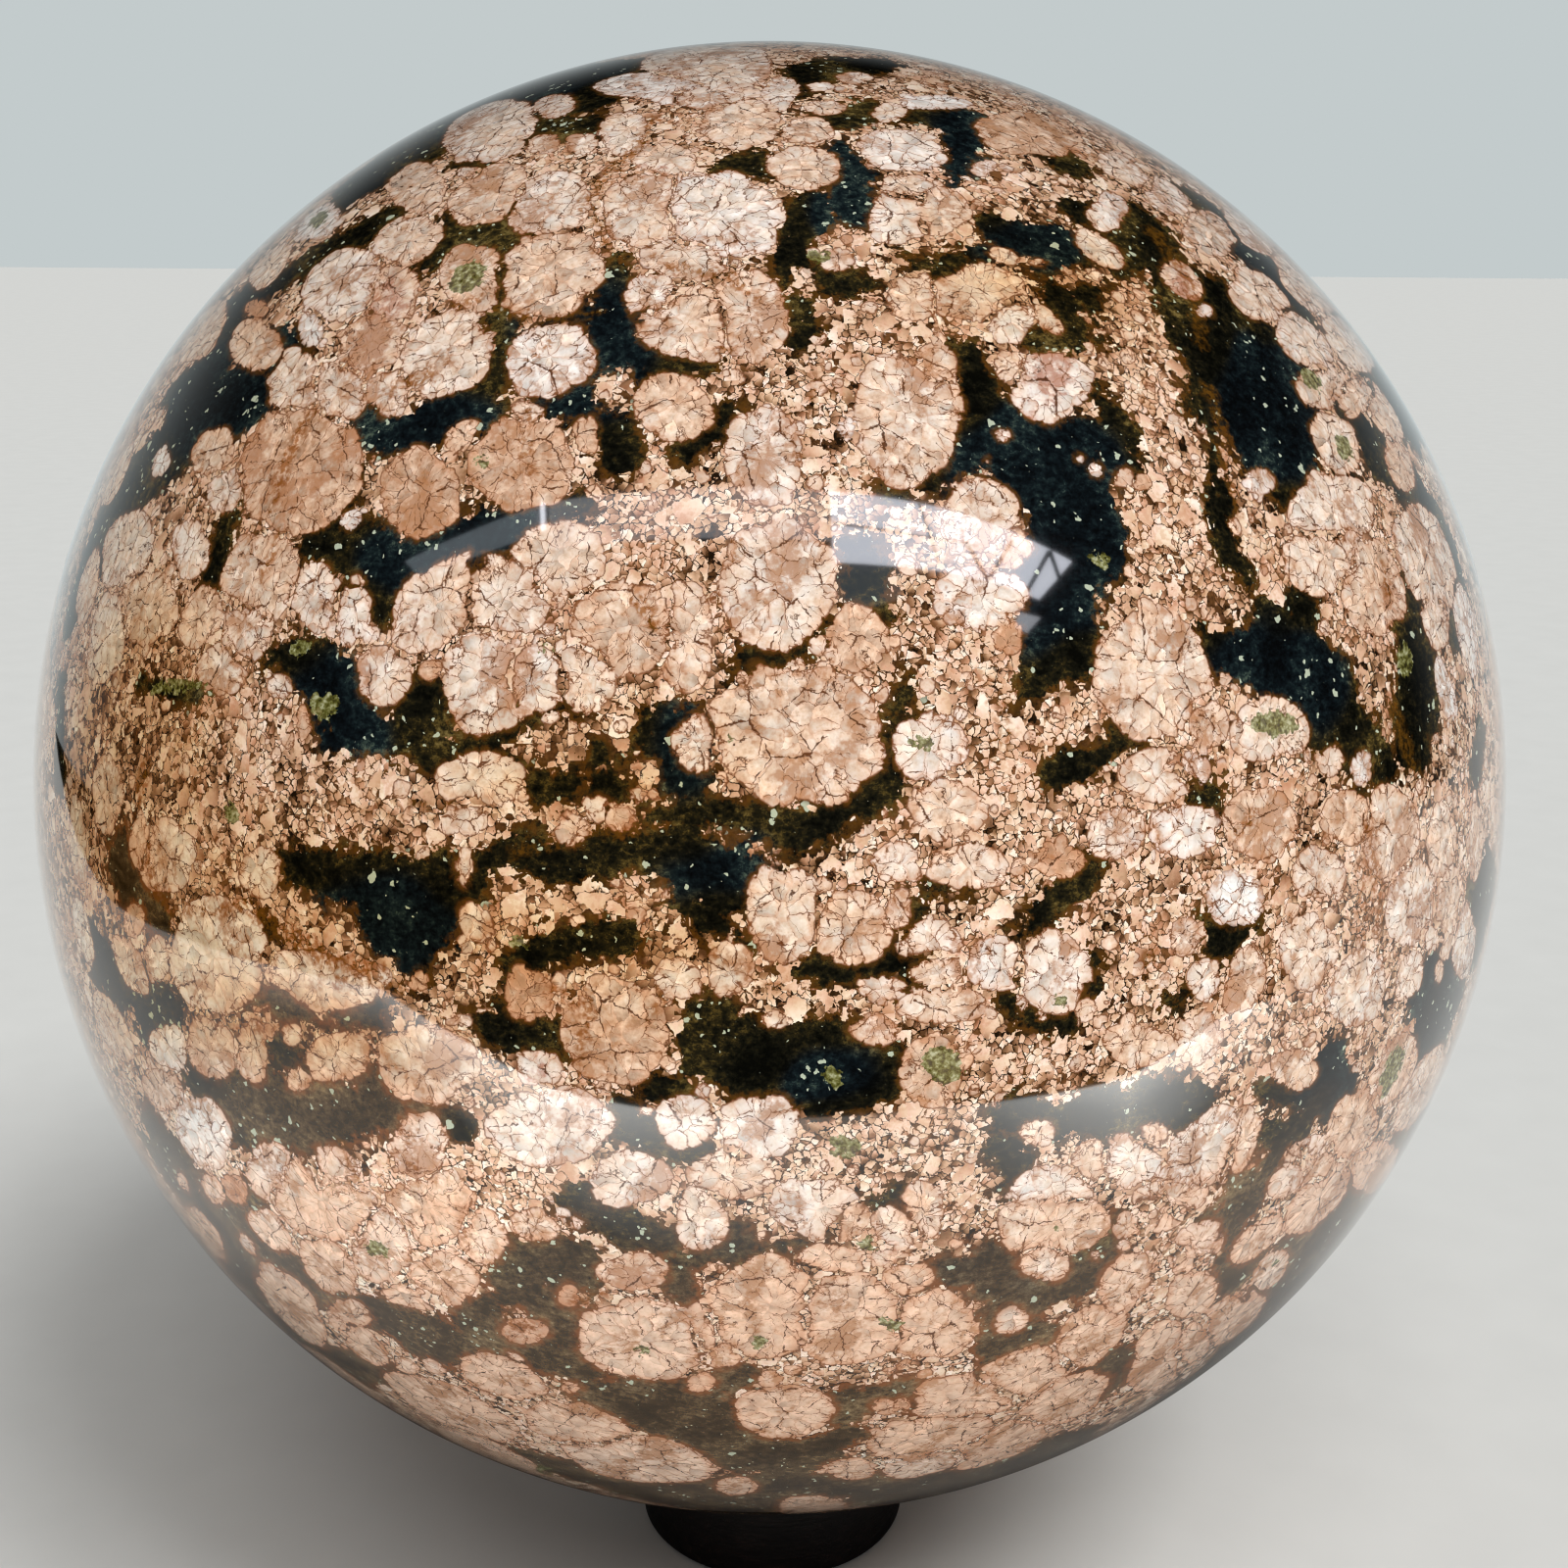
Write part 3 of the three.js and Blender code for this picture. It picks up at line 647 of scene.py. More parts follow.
# A photo chain of stations as directions with half widths in millimetres, measured across the chain.
def ontoBallChain(chain):
    stations = np.array(chain, float)
    runs = np.gradient(stations[:, :2], axis=0) if len(stations) > 1 else np.array([[1.0, 0.3]])
    across = np.stack([-runs[:, 1], runs[:, 0]], 1)
    across /= np.maximum(np.linalg.norm(across, axis=1, keepdims=True), 1e-9)
    reach = across * stations[:, 2:3]
    oneSide, otherSide = ontoBall(stations[:, :2] + reach), ontoBall(stations[:, :2] - reach)
    halfWidth = np.linalg.norm(oneSide - otherSide, axis=1) / 2 * ballMm
    return list(zip(ontoBall(stations[:, :2]), halfWidth))


directions, ballFaces, ballAtlas = ballGrid(stoneBall["cells"], stoneBall["squeeze"])
surface = directions * ballMm
handBlossoms = []
for mark in blossomMarks:
    kind = mark[-1] if isinstance(mark[-1], str) else ""
    handBlossoms.append((*ontoBallEllipse(*mark[:len(mark) - len(kind)]), kind))
hiddenBlossoms, hiddenPools, hiddenRusts, hiddenGreens = hiddenMarks()
allBlossoms = handBlossoms + hiddenBlossoms
allPools = [ontoBallChain(chain) for chain in poolMarks] + hiddenPools
allRusts = [ontoBallChain(chain) for chain in rustMarks] + hiddenRusts
allGreens = [ontoBallEllipse(*m) for m in greenMarks] + hiddenGreens
centres = np.array([centre for centre, halves, kind in allBlossoms])
meanRadii = np.array([math.sqrt(max(np.linalg.norm(np.cross(*halves)), 0.01))
                      for centre, halves, kind in allBlossoms])

# Tone, stain and warmth of each kind of blossom.
kindTints = {"": (0.5, 0.15, 0.3), "w": (1.0, 0.0, 0.1), "b": (0.4, 0.5, 0.5), "r": (0.55, 0.55, 1.0),
             "o": (0.08, 0.4, 0.6), "d": (0.36, 0.12, 0.4)}


# The outline of a mark swells by the sum of three seeded waves round it, height * cos(count * turn + phase).
draw = np.random.default_rng(stoneBall["swellSeed"])
waveCounts = np.array([draw.integers(2, int(np.clip(radius * 3, 4, 9)), 3) for radius in meanRadii])
wavePhases = draw.uniform(0, 2 * math.pi, (len(meanRadii), 3))
waveHeights = draw.uniform(*stoneBall["swellHeights"], (len(meanRadii), 3)) * meanRadii[:, None]


def swellOf(parts, number):
    turn = np.arctan2(parts[:, 1], parts[:, 0])[:, None]
    return (waveHeights[number] * np.cos(waveCounts[number] * turn + wavePhases[number])).sum(1)


# The numbers of the points within some millimetres of a centre, measured round the ball.
def nearPoints(points, centre, reach):
    return np.nonzero(points @ centre > math.cos(min(reach / ballMm, 3.0)))[0]


# Owner, rival and depth in millimetres at each point: every mark is stamped on the points near it, and the
# deepest mark owns the point. The second deepest is its rival, or none.
def stampBlossoms(points, marks):
    best, second = (np.full(len(points), stoneBall["farOutside"]) for side in (0, 1))
    owner, rival = (np.full(len(points), -1) for side in (0, 1))
    for number, (centre, halves, kind) in enumerate(marks):
        if kind == "g":
            continue
        near = nearPoints(points, centre, np.linalg.norm(halves, axis=1).max() + stoneBall["blossomMargin"])
        parts = insideMark(points[near], centre, halves)
        depth = ellipseDepth(parts, halves) + swellOf(parts, number)
        ahead = depth > best[near]
        behind = ~ahead & (depth > second[near])
        rival[near] = np.where(ahead, owner[near], np.where(behind, number, rival[near]))
        second[near] = np.where(ahead, best[near], np.where(behind, depth, second[near]))
        owner[near] = np.where(ahead, number, owner[near])
        best[near] = np.maximum(best[near], depth)
    lost = np.nonzero(owner < 0)[0]
    owner[lost] = np.argmax(points[lost] @ centres.T, axis=1)
    return best, owner, rival


# Depth inside the nearest chain: each pair of stations is a tapered bar, half width less distance to its
# axis.
def stampChains(points, chains):
    best = np.full(len(points), stoneBall["farOutside"])
    for chain in chains:
        pairs = list(zip(chain[:-1], chain[1:])) or [(chain[0], chain[0])]
        for (start, startWidth), (end, endWidth) in pairs:
            span = (end - start) * ballMm
            reach = np.linalg.norm(span) / 2 + max(startWidth, endWidth) + stoneBall["otherMargin"]
            near = nearPoints(points, unit(start + end), reach)
            offset = (points[near] - start) * ballMm
            share = held(offset @ span / max(span @ span, 1e-9))
            away = np.linalg.norm(offset - share[:, None] * span, axis=1)
            width = startWidth + (endWidth - startWidth) * share
            best[near] = np.maximum(best[near], width - away)
    return best


# The deepest of some plain ellipses.
def stampEllipses(points, marks):
    best = np.full(len(points), stoneBall["farOutside"])
    for centre, halves in marks:
        near = nearPoints(points, centre, np.linalg.norm(halves, axis=1).max() + stoneBall["otherMargin"])
        best[near] = np.maximum(best[near], ellipseDepth(insideMark(points[near], centre, halves), halves))
    return best


blossomDepth, blossomOwner, blossomRival = stampBlossoms(directions, allBlossoms)
poolDepth = stampChains(directions, allPools) + stoneBall["poolSwell"]
rustDepth = stampChains(directions, allRusts)
massDepth = stampEllipses(directions, [mark[:2] for mark in allBlossoms if mark[2] == "g"])
greenDepth = stampEllipses(directions, allGreens)
navyShown, brownShown, tanShown, paintedLightShown = (
    held(stampEllipses(directions, [ontoBallEllipse(*mark) for mark in marks]) / fade + 0.5)
    for marks, fade in zip((navyMarks, brownMarks, tanMarks, paintedLightMarks), stoneBall["wideFades"]))

farInside = -stoneBall["farOutside"]
groundDepth = np.clip(-poolDepth, -farInside, farInside) + wander(surface, *stoneBall["edgeWander"])
groundDepth = np.maximum(groundDepth, massDepth)
bulge = wander(surface, *stoneBall["bulgeWander"])
tints = np.array([kindTints.get(kind, kindTints[""]) for centre, halves, kind in allBlossoms])
tints[:, 0] += np.random.default_rng(stoneBall["toneSeed"]).normal(0, 0.12, len(allBlossoms))
plainTint = np.array([0.45, 0.25, 0.4])
fadeReach = stoneBall["tintFade"]
tintFade = held((blossomDepth + fadeReach) / fadeReach)[:, None]
stoneTints = plainTint + (tints[blossomOwner] - plainTint) * tintFade


# Navy where the photo shows it or by chance behind, and two clouds, coarse and fine, each about 0.5 +- 0.2.
hiddenStart, hiddenSlope = stoneBall["hiddenBlend"]
hiddenShare = held((math.cos(math.radians(hiddenStart)) - directions @ towardsCamera) * hiddenSlope)
navyChance = held(0.4 + wander(surface, *stoneBall["navyWander"]))
navy = navyShown * (1 - hiddenShare) + hiddenShare * navyChance
navy = navy * (1 - brownShown) - brownShown
tanAndPaintedLight = tanShown + hiddenShare * held(wander(surface, *stoneBall["tanWander"]))
tanAndPaintedLight += 0.45 * held(-2.5 * directions @ viewRight - 0.9)  # the left edge is browner too
tanAndPaintedLight -= 1.3 * paintedLightShown  # below 0 the stone is painted paler and brighter, as painted light
coarseCloud, fineCloud = (0.5 + wander(surface, *row) for row in stoneBall["cloudWander"])
clouds = np.stack([coarseCloud, fineCloud, 0 * fineCloud], 1)

# Each face belongs to one blossom and takes that one's flat frames, so cracks stop at a blossom's edge.
# chart: millimetres across and along from the blossom's middle, shifted by chance.
# rimChart: the way from the middle times the mean radius, which is a circle as long as the rim.
draw = np.random.default_rng(stoneBall["chartSeed"])
cornerWay = directions[ballFaces.ravel()]
cornerOwner = np.repeat(blossomOwner[ballFaces[:, 0]], 4)
cornerRival = np.repeat(blossomRival[ballFaces[:, 0]], 4)
firstAxis = unit(np.cross(centres, draw.normal(size=centres.shape)))
secondAxis = np.cross(centres, firstAxis)
shift = draw.uniform(0, 400, (len(centres), 2))
tables = np.array([inverseTable(halves) for centre, halves, kind in allBlossoms])
axesToParts = np.array([table @ halves for table, (centre, halves, kind) in zip(tables, allBlossoms)])


# Offsets in millimetres from the middle of each corner's blossom, laid flat round it.
def cornerOffsets(number):
    cosine = np.clip((cornerWay * centres[number]).sum(1), -1, 1)
    sideways = unit(cornerWay - cosine[:, None] * centres[number] + 1e-12)
    return sideways * (np.arccos(cosine) * ballMm)[:, None]


# Parts of a blossom's two half axes, and millimetres per unit of q = length of those parts, and the swelling.
# A corner without a blossom here counts as 30 mm outside.
def cornerPlaces(number):
    parts = np.einsum("nij,nj->ni", axesToParts[number], cornerOffsets(number))
    slope = np.einsum("ni,nij,nj->n", parts, tables[number], parts)
    reach = np.linalg.norm(parts, axis=1) / np.sqrt(np.maximum(slope, 1e-12))
    return np.column_stack([parts, reach]), np.where(number < 0, -30.0, swellOf(parts, number))


offsets = cornerOffsets(cornerOwner)
flat = np.stack([(offsets * axis[cornerOwner]).sum(1) for axis in (firstAxis, secondAxis)], 1)
chart = np.column_stack([flat + shift[cornerOwner], np.zeros(len(flat))])
rimChart = np.column_stack([unit(flat + 1e-9) * meanRadii[cornerOwner][:, None] + shift[cornerOwner],
                            np.zeros(len(flat))])
ownPlace, ownSwell = cornerPlaces(cornerOwner)
rivalPlace, rivalSwell = cornerPlaces(cornerRival)
print("fields worked out for", len(directions), "points and", len(ballFaces), "faces")


# Polished cherry blossom agate: chalcedony, ground and polished to a glassy gloss. Pale pink orbs of fine
# crystal, crazed with brown cracks, and masses of loose grains lie in a near-black, slightly translucent
# ground with rusty and olive seams. All of it is colour under one smooth surface.
agateFinish = {
    "ior": 1.5,  # a little under chalcedony's 1.54, because the skin adds to the shine
    "roughness": 0.05,
    "coatIor": 1.13,  # the burnished skin, which strengthens the mirror of the table on the dark ground
    "coatRoughness": 0.02,
    # Millimetres from one cell, petal or wave to the next.
    "wideCracks": 2.7,
    "chip": 0.95,
    "petal": 1.15,
    "grain": 0.4,
    "orbs": 1.4,
    "quick": 0.8,
    "crumb": 0.3125,
    "radial": 0.16,  # how far the chips are drawn out along the blossom's radius
    "paintedVeilHeights": (0.054, 0.043),  # metres above the foot between which the painted reflection of the floor comes in, warmer and browner downwards
    # Ramps: places and colours, from dark to pale.
    "petalTop": ((0, "#AE8466"), (0.3, "#D4B69E"), (0.55, "#DDCCBD"), (0.8, "#E0D6CF"), (1, "#E4E0DC")),
    # This ramp is painted reflection and light from the floor low on the ball, and is also used where the
    # stone is browner.
    "petalPaintedVeilAndBrown": ((0, "#B28062"), (0.3, "#D4AB8F"), (0.6, "#DFBEA6"), (1, "#E8D3C2")),
    "grains": ((0, "#4E3622"), (0.25, "#8E6C52"), (0.5, "#C5A58D"), (0.75, "#DBC8B8"), (1, "#E8E1DA")),
    "darkBrown": ((0.36, "#060604"), (0.5, "#11100A"), (0.62, "#262010"), (0.72, "#46391B"),
                  (0.85, "#6F6038")),
    "darkNavy": ((0.36, "#050607"), (0.52, "#0A0F12"), (0.63, "#131C1E"), (0.72, "#232D2B"),
                 (0.85, "#4A5549")),
    # This ramp is the painted reflection of the floor on the ground low on the ball, and is also used where
    # the stone is browner.
    "darkPaintedVeilAndBrown": ((0.34, "#302414"), (0.48, "#43321F"), (0.6, "#59462F"), (0.7, "#6E5A40"), (0.85, "#8E7858")),
    "greens": ((0.15, "#2A2710"), (0.4, "#514E20"), (0.6, "#77764A"), (0.85, "#A6A687")),
}


# Sets a colour ramp's stops, each a place and an sRGB hex, and gives the ramp's colour.
def paintRamp(node, stops):
    ramp = node.color_ramp
    while len(ramp.elements) < len(stops):
        ramp.elements.new(0.5)
    for element, (position, hexCode) in zip(ramp.elements, stops):
        element.position = position
        element.color = linearColour(hexCode)
    return node.outputs["Color"]


def makeAgate():
    finish = agateFinish
    material, add = newMaterial("polishedAgate")
    flatCells, flatEdges = (
        {"voronoi_dimensions": "2D", "feature": kind} for kind in ("F1", "DISTANCE_TO_EDGE"))

    # A field stirred by others: field + other * share + ...
    def stir(field, *others):
        for other, share in others:
            field = add("Math", [other, share, field], timesPlus)
        return field

    # Depth in mm inside a blossom: (1 - q) * millimetres per unit of q + swelling.
    def markDepth(name, swell):
        x, y, reach = add("SeparateXYZ", [fields[name]]).outputs
        q = add("VectorMath", [add("CombineXYZ", [x, y])], lengthOf).outputs["Value"]
        return add("Math", [add("Math", [1, q], minus), reach, swell], timesPlus)

    # Cells of one size: the way to their borders, the cells, how far each place lies along its cell's own
    # lean, which is lean . (place - cell's middle) and paints a light side and a shaded side on each cell
    # like a lit facet, and three chance numbers for each cell.
    def leaningCells(place, size):
        edges, cells = (add("TexVoronoi", [place, 1 / size], kind) for kind in (flatEdges, flatCells))
        lean = add("VectorMath", [cells.outputs["Color"], (1, 1, 0), (-0.5, -0.5, 0)], timesPlus)
        offset = add("VectorMath", [place, cells.outputs["Position"]], minus)
        slope = add("VectorMath", [lean, offset], dotted).outputs["Value"]
        return edges, cells, slope, *add("SeparateColor", [cells.outputs["Color"]]).outputs

    place = add("TexCoord").outputs["Object"]
    inMm = add("VectorMath", [place, 1000], scaled)
    height = add("SeparateXYZ", [place]).outputs[2]
    fields = {name: add("Attribute", (), {"attribute_name": name}).outputs["Vector"] for name in (
        "stoneDepths", "stoneTints", "clouds", "patches", "swells",
        "chart", "rimChart", "ownPlace", "rivalPlace")}
    (ground, bulge, tan), (tone, stain, warmth), (middle, brisk, _), (green, rust, navy), swells = (
        add("SeparateXYZ", [field]).outputs for field in list(fields.values())[:5])

    # A quick noise, three channels, bends every pattern and frays every edge, and a fine one makes every
    # colour crumbly.
    quickNoise = add("TexNoise", [inMm, 1 / finish["quick"], 3, 0.62]).outputs["Color"]
    crumbNoise = add("TexNoise", [inMm, 1 / finish["crumb"], 2, 0.6]).outputs["Color"]
    quick, quickB, quickC = add("SeparateColor", [quickNoise]).outputs
    crumb, crumbB, crumbC = add("SeparateColor", [crumbNoise]).outputs
    bentOnce = add("VectorMath", [quickNoise, (0.6, 0.6, 0), fields["chart"]], timesPlus)
    bent = add("VectorMath", [crumbNoise, (0.28, 0.28, 0), bentOnce], timesPlus)
    rimBent = add("VectorMath", [quickNoise, (1.1, 1.1, 0), fields["rimChart"]], timesPlus)
    fray = add("MapRange", [quickC, 0.25, 0.75, -0.3, 0.3])
    crumble = add("MapRange", [crumb, 0.25, 0.75, -1])
    cloud = add("Math", [middle, -0.5], plus)

    # Low on the ball the colours carry a painted reflection of the floor and its warm light: warmer petals, a
    # lighter brown ground, fainter cracks, stronger rims and wider halos. The same colours also mark a few
    # other places, where navy is below 0 and the stone itself is browner.
    paintedVeilAndBrownMask = add("MapRange", [stir(height, (cloud, 0.012)), *finish["paintedVeilHeights"], 0, 0.9], smooth)
    paintedVeilAndBrownMask = add("Math", [paintedVeilAndBrownMask, add("Math", [navy, -0.8], times)], larger)

    # The deeper of the face's blossom and its rival, drawn back along the seam between them by half their
    # difference, notched between petals and frayed. Petals are cells along the rim, and their borders run
    # inward as cracks.
    mine = markDepth("ownPlace", swells[0])
    rivals = markDepth("rivalPlace", swells[1])
    ownDepth = add("Math", [add("Math", [mine, rivals], larger), bulge], plus)
    seamGap = add("Math", [add("Math", [mine, rivals], minus)], absolute)
    seamOpen = add("MapRange", [brisk, 0.3, 0.75, 0.07, -0.3])
    ownDepth = add("Math", [ownDepth, stir(seamOpen, (seamGap, 0.5))], smaller)
    rimEdges = add("TexVoronoi", [rimBent, 1 / finish["petal"]], flatEdges)
    notch = add("MapRange", [rimEdges, 0, 0.16, -0.13, 0.02], smooth)
    ownDepth = stir(add("Math", [ownDepth, notch], plus), (fray, 0.35))

    # Tiny orbs strewn through the masses and a little way into the pools: circles in some cells.
    groundEdge = stir(ground, (fray, 1.7), (crumble, 0.12))
    orbs = add("TexVoronoi", [bentOnce, 1 / finish["orbs"]], flatCells)
    orbChance = add("SeparateColor", [orbs.outputs["Color"]]).outputs[0]
    orbRadius = add("MapRange", [orbChance, 0.5, 1, 0, 0.4])
    orbDepth = add("Math", [orbRadius, orbs.outputs["Distance"]], minus)
    orbRoom = add("MapRange", [groundEdge, -0.7, 0, -1, 0])
    blossomEdge = add("Math", [ownDepth, stir(orbRoom, (orbDepth, finish["orbs"]))], larger)
    inBlossom = add("MapRange", [blossomEdge, -0.03, 0.03], smooth)

    # Cracks of a blossom: borders of wide cells, broken up and of changing width, some borders of the chips,
    # and the petals' borders near the rim.
    wideEdges = add("TexVoronoi", [bent, 1 / finish["wideCracks"]], flatEdges)
    wideWidth = add("MapRange", [quickB, 0.42, 0.62, 0.001, 0.028])
    wideLine = add("Math", [wideEdges, wideWidth], over)
    wideCrack = add("MapRange", [wideLine, 0.3, 1.3, 0.95, 0], smooth)
    radial = add("Mix", [finish["radial"], bent, rimBent], {"data_type": "VECTOR"})
    chipEdges, chips, chipPaintedShade, chipOne, chipTwo, chipThree = leaningCells(radial, finish["chip"])
    chipWidth = add("MapRange", [quick, 0.42, 0.62, 0.012, 0.062])
    chipLine = add("MapRange", [chipEdges, 0, chipWidth, 1, 0], smooth)
    chipStrength = add("MapRange", [quick, 0.4, 0.56, 0.1, 0.95], smooth)
    chipFaint = add("MapRange", [paintedVeilAndBrownMask, 0, 1, 1, 0.75])
    chipCrack = add("Math", [add("Math", [chipLine, chipStrength], times), chipFaint], times)
    rimWidth = add("MapRange", [crumbB, 0.3, 0.7, 0.01, 0.06])
    rimLine = add("MapRange", [rimEdges, 0, rimWidth, 0.95, 0], smooth)
    rimReach = add("MapRange", [quickB, 0.36, 0.64, 0.2, 3])
    rimFade = add("MapRange", [add("Math", [ownDepth, rimReach], over), 0.4, 1, 1, 0], smooth)
    cracks = add("Math", [wideCrack, add("Math", [rimLine, rimFade], times)], larger)

    # Blossom colour: peach to pale pink by its tone and the clouds, evened out and warmer low on the ball,
    # where this is painted reflection of the floor. Each chip is a little lighter or darker, and carries a
    # painted light side and shaded side along its lean. It is browner along some borders, with rusty stains.
    petalTone = stir(tone, (cloud, 0.5), (fray, 0.8), (crumble, 0.12))
    lowTone = add("Mix", [add("Math", [paintedVeilAndBrownMask, 0.55], times), petalTone, 0.55])
    petalTop = paintRamp(add("ValToRGB", [petalTone]), finish["petalTop"])
    petalPaintedVeilAndBrown = paintRamp(add("ValToRGB", [lowTone]), finish["petalPaintedVeilAndBrown"])
    petal = add("Mix", [paintedVeilAndBrownMask, petalTop, petalPaintedVeilAndBrown], blend)
    chipLevel = add("MapRange", [chipOne, 0, 1, 0.85, 1.07])
    petal = add("VectorMath", [petal, stir(chipLevel, (chipPaintedShade, 0.75), (crumble, 0.1))], scaled)
    pillowDepth = add("MapRange", [chipTwo, 0, 1, 0, 0.55])
    pillow = add("MapRange", [chipEdges, 0, 0.2, pillowDepth, 0], smooth)
    petal = add("Mix", [pillow, petal, "#C8987A"], blend)
    deepInside = add("MapRange", [blossomEdge, 0.3, 2.2], smooth)
    stainBias = add("Math", [stain, deepInside], times)
    stainCloud = stir(middle, (quickB, 0.9))
    stained = stir(stainCloud, (stainBias, 0.3), (crumble, 0.17))
    stainMask = add("MapRange", [stained, 0.94, 1.26, 0, 0.75], smooth)
    stainColour = add("Mix", [warmth, "#9A6A3C", "#985634"], blend)
    petal = add("Mix", [stainMask, petal, stainColour], blend)
    petal = add("Mix", [chipCrack, petal, add("Mix", [crumbC, "#30180A", "#84502C"], blend)], blend)
    petal = add("Mix", [cracks, petal, add("Mix", [quick, "#1E0F07", "#6A3A1C"], blend)], blend)
    glowStart = add("MapRange", [paintedVeilAndBrownMask, 0, 1, 0.26, 0.44])
    rimGlow = add("MapRange", [blossomEdge, 0.03, 0.6, glowStart, 0], smooth)
    petal = add("Mix", [rimGlow, petal, "#B8784E"], blend)
    rimKeep = add("MapRange", [tone, 0.75, 1.1, 0.95, 0.2])
    rimBand = add("MapRange", [blossomEdge, 0.02, 0.13, rimKeep, 0], smooth)
    petal = add("Mix", [rimBand, petal, add("Mix", [quick, "#2C160A", "#8E5530"], blend)], blend)

    # Loose grains: angular cells that are there or missing by chance, fewer of them towards a pool, each with
    # a painted light side and shaded side as the chips have, with gaps of changing width. Some larger chips
    # lie among them.
    fineEdges, fine, finePaintedShade, fineOne, fineTwo, fineThree = leaningCells(bent, finish["grain"])
    fullest = add("MapRange", [brisk, 0.32, 0.6, 0.86])
    presence = add("MapRange", [groundEdge, -0.35, 0.75, 0, fullest], smooth)
    gapWidth = add("MapRange", [quickB, 0.36, 0.66, 0.025, 0.17])
    fineBody = add("MapRange", [fineEdges, add("Math", [gapWidth, 0.45], times), gapWidth], smooth)
    fineMask = add("Math", [fineBody, add("Math", [fineThree, presence], below)], times)
    fineTone = stir(0.24, (fineOne, 0.7), (cloud, 0.7), (finePaintedShade, 2.2), (crumble, 0.1), (tan, -0.15))
    shardTone = stir(0.42, (chipOne, 0.5), (chipPaintedShade, 0.8), (cloud, 0.5), (crumble, 0.1))
    shardShare = add("MapRange", [quickC, 0.38, 0.64, 0.06, 0.55])
    shardHere = add("Math", [chipThree, add("Math", [presence, shardShare], times)], below)
    shardMask = add("Math", [add("MapRange", [chipEdges, 0.03, 0.07], smooth), shardHere], times)
    grain = paintRamp(add("ValToRGB", [add("Mix", [shardMask, fineTone, shardTone])]), finish["grains"])
    grainMask = add("Math", [fineMask, shardMask], larger)
    grain = add("Mix", [1, grain, add("Mix", [fineTwo, "#FFFAEE", "#FFEFE8"], blend)], tint)
    gapCloud = add("MapRange", [stir(stainCloud, (crumble, 0.3)), 0.7, 1.35])
    gapColour = add("Mix", [gapCloud, "#180F07", "#6C4628"], blend)
    grainStain = add("MapRange", [gapCloud, 0.3, 0.85, 0, 0.55], smooth)
    grain = add("Mix", [grainStain, grain, "#D3A680"], tint)

    # The dark ground: near black, mottled with navy, brown and olive, painted lighter and browner low on the
    # ball as the floor's reflection, browner towards a pale edge, rusty just off the edge, with small pale
    # specks in drifts.
    nearPale = add("Math", [groundEdge, blossomEdge], larger)
    fibrePlace = add("VectorMath", [inMm, (0.9, 1, 1.15)], times)
    fibres = add("TexNoise", [fibrePlace, 2.2, 4, 0.75]).outputs["Fac"]
    edgeLift = add("MapRange", [nearPale, -1.6, 0, -0.02, 0.1], smooth)
    mottle = stir(add("Math", [fibres, edgeLift], plus), (cloud, 0.42), (crumble, 0.025))
    darkBrown, darkNavy, darkPaintedVeilAndBrown = (
        paintRamp(add("ValToRGB", [mottle]), finish[name]) for name in ("darkBrown", "darkNavy", "darkPaintedVeilAndBrown"))
    navyMask = add("MapRange", [stir(navy, (cloud, 1.2)), 0.3, 0.75], smooth)
    dark = add("Mix", [navyMask, darkBrown, darkNavy], blend)
    dark = add("Mix", [paintedVeilAndBrownMask, dark, darkPaintedVeilAndBrown], blend)
    haloReach = add("MapRange", [paintedVeilAndBrownMask, 0, 1, -0.35, -0.6])
    haloMask = add("MapRange", [nearPale, haloReach, 0, 0, 0.8], smooth)
    haloPatch = add("MapRange", [quick, 0.36, 0.56, 0.25], smooth)
    haloColour = add("Mix", [crumbB, "#6A4014", "#261D0B"], blend)
    haloColour = add("Mix", [paintedVeilAndBrownMask, haloColour, "#7E4824"], blend)
    dark = add("Mix", [add("Math", [haloMask, haloPatch], times), dark, haloColour], blend)
    speckChance = add("MapRange", [middle, 0.35, 0.8, 0.985, 0.81])
    speckSize = add("MapRange", [fineTwo, speckChance, 1, 0, 0.36])
    speckMask = add("Math", [fine.outputs["Distance"], speckSize], below)
    flakeSize = add("MapRange", [chipTwo, speckChance, 1, 0, 0.25])
    flakeMask = add("Math", [stir(chips.outputs["Distance"], (crumble, 0.05)), flakeSize], below)
    speckMask = add("Math", [add("Math", [speckMask, flakeMask], larger), 0.8], times)
    dark = add("Mix", [speckMask, dark, "#B4BCA6"], blend)

    # Grains stand in their gap colour inside the mass, and straight in the dark ground outside it. Blossoms
    # lie over both, and rusty seams over all.
    inMass = add("MapRange", [groundEdge, -0.1, 0.7], smooth)
    stone = add("Mix", [inMass, dark, gapColour], blend)
    stone = add("Mix", [grainMask, stone, grain], blend)
    stone = add("Mix", [add("Math", [chipCrack, inMass], times), stone, "#1E1108"], blend)
    stone = add("Mix", [inBlossom, stone, petal], blend)
    rustMask = add("MapRange", [stir(rust, (fray, 1.5), (crumble, 0.2)), -0.3, 0.45, 0, 0.9], smooth)
    rustPatch = add("MapRange", [crumbC, 0.36, 0.6, 0.1], smooth)
    rustMask = add("Math", [rustMask, rustPatch], times)
    stone = add("Mix", [rustMask, stone, add("Mix", [crumbB, "#9C5A2C", "#DCAA80"], blend)], tint)
    stone = add("Mix", [add("Math", [rustMask, 0.4], times), stone, "#80561C"], blend)

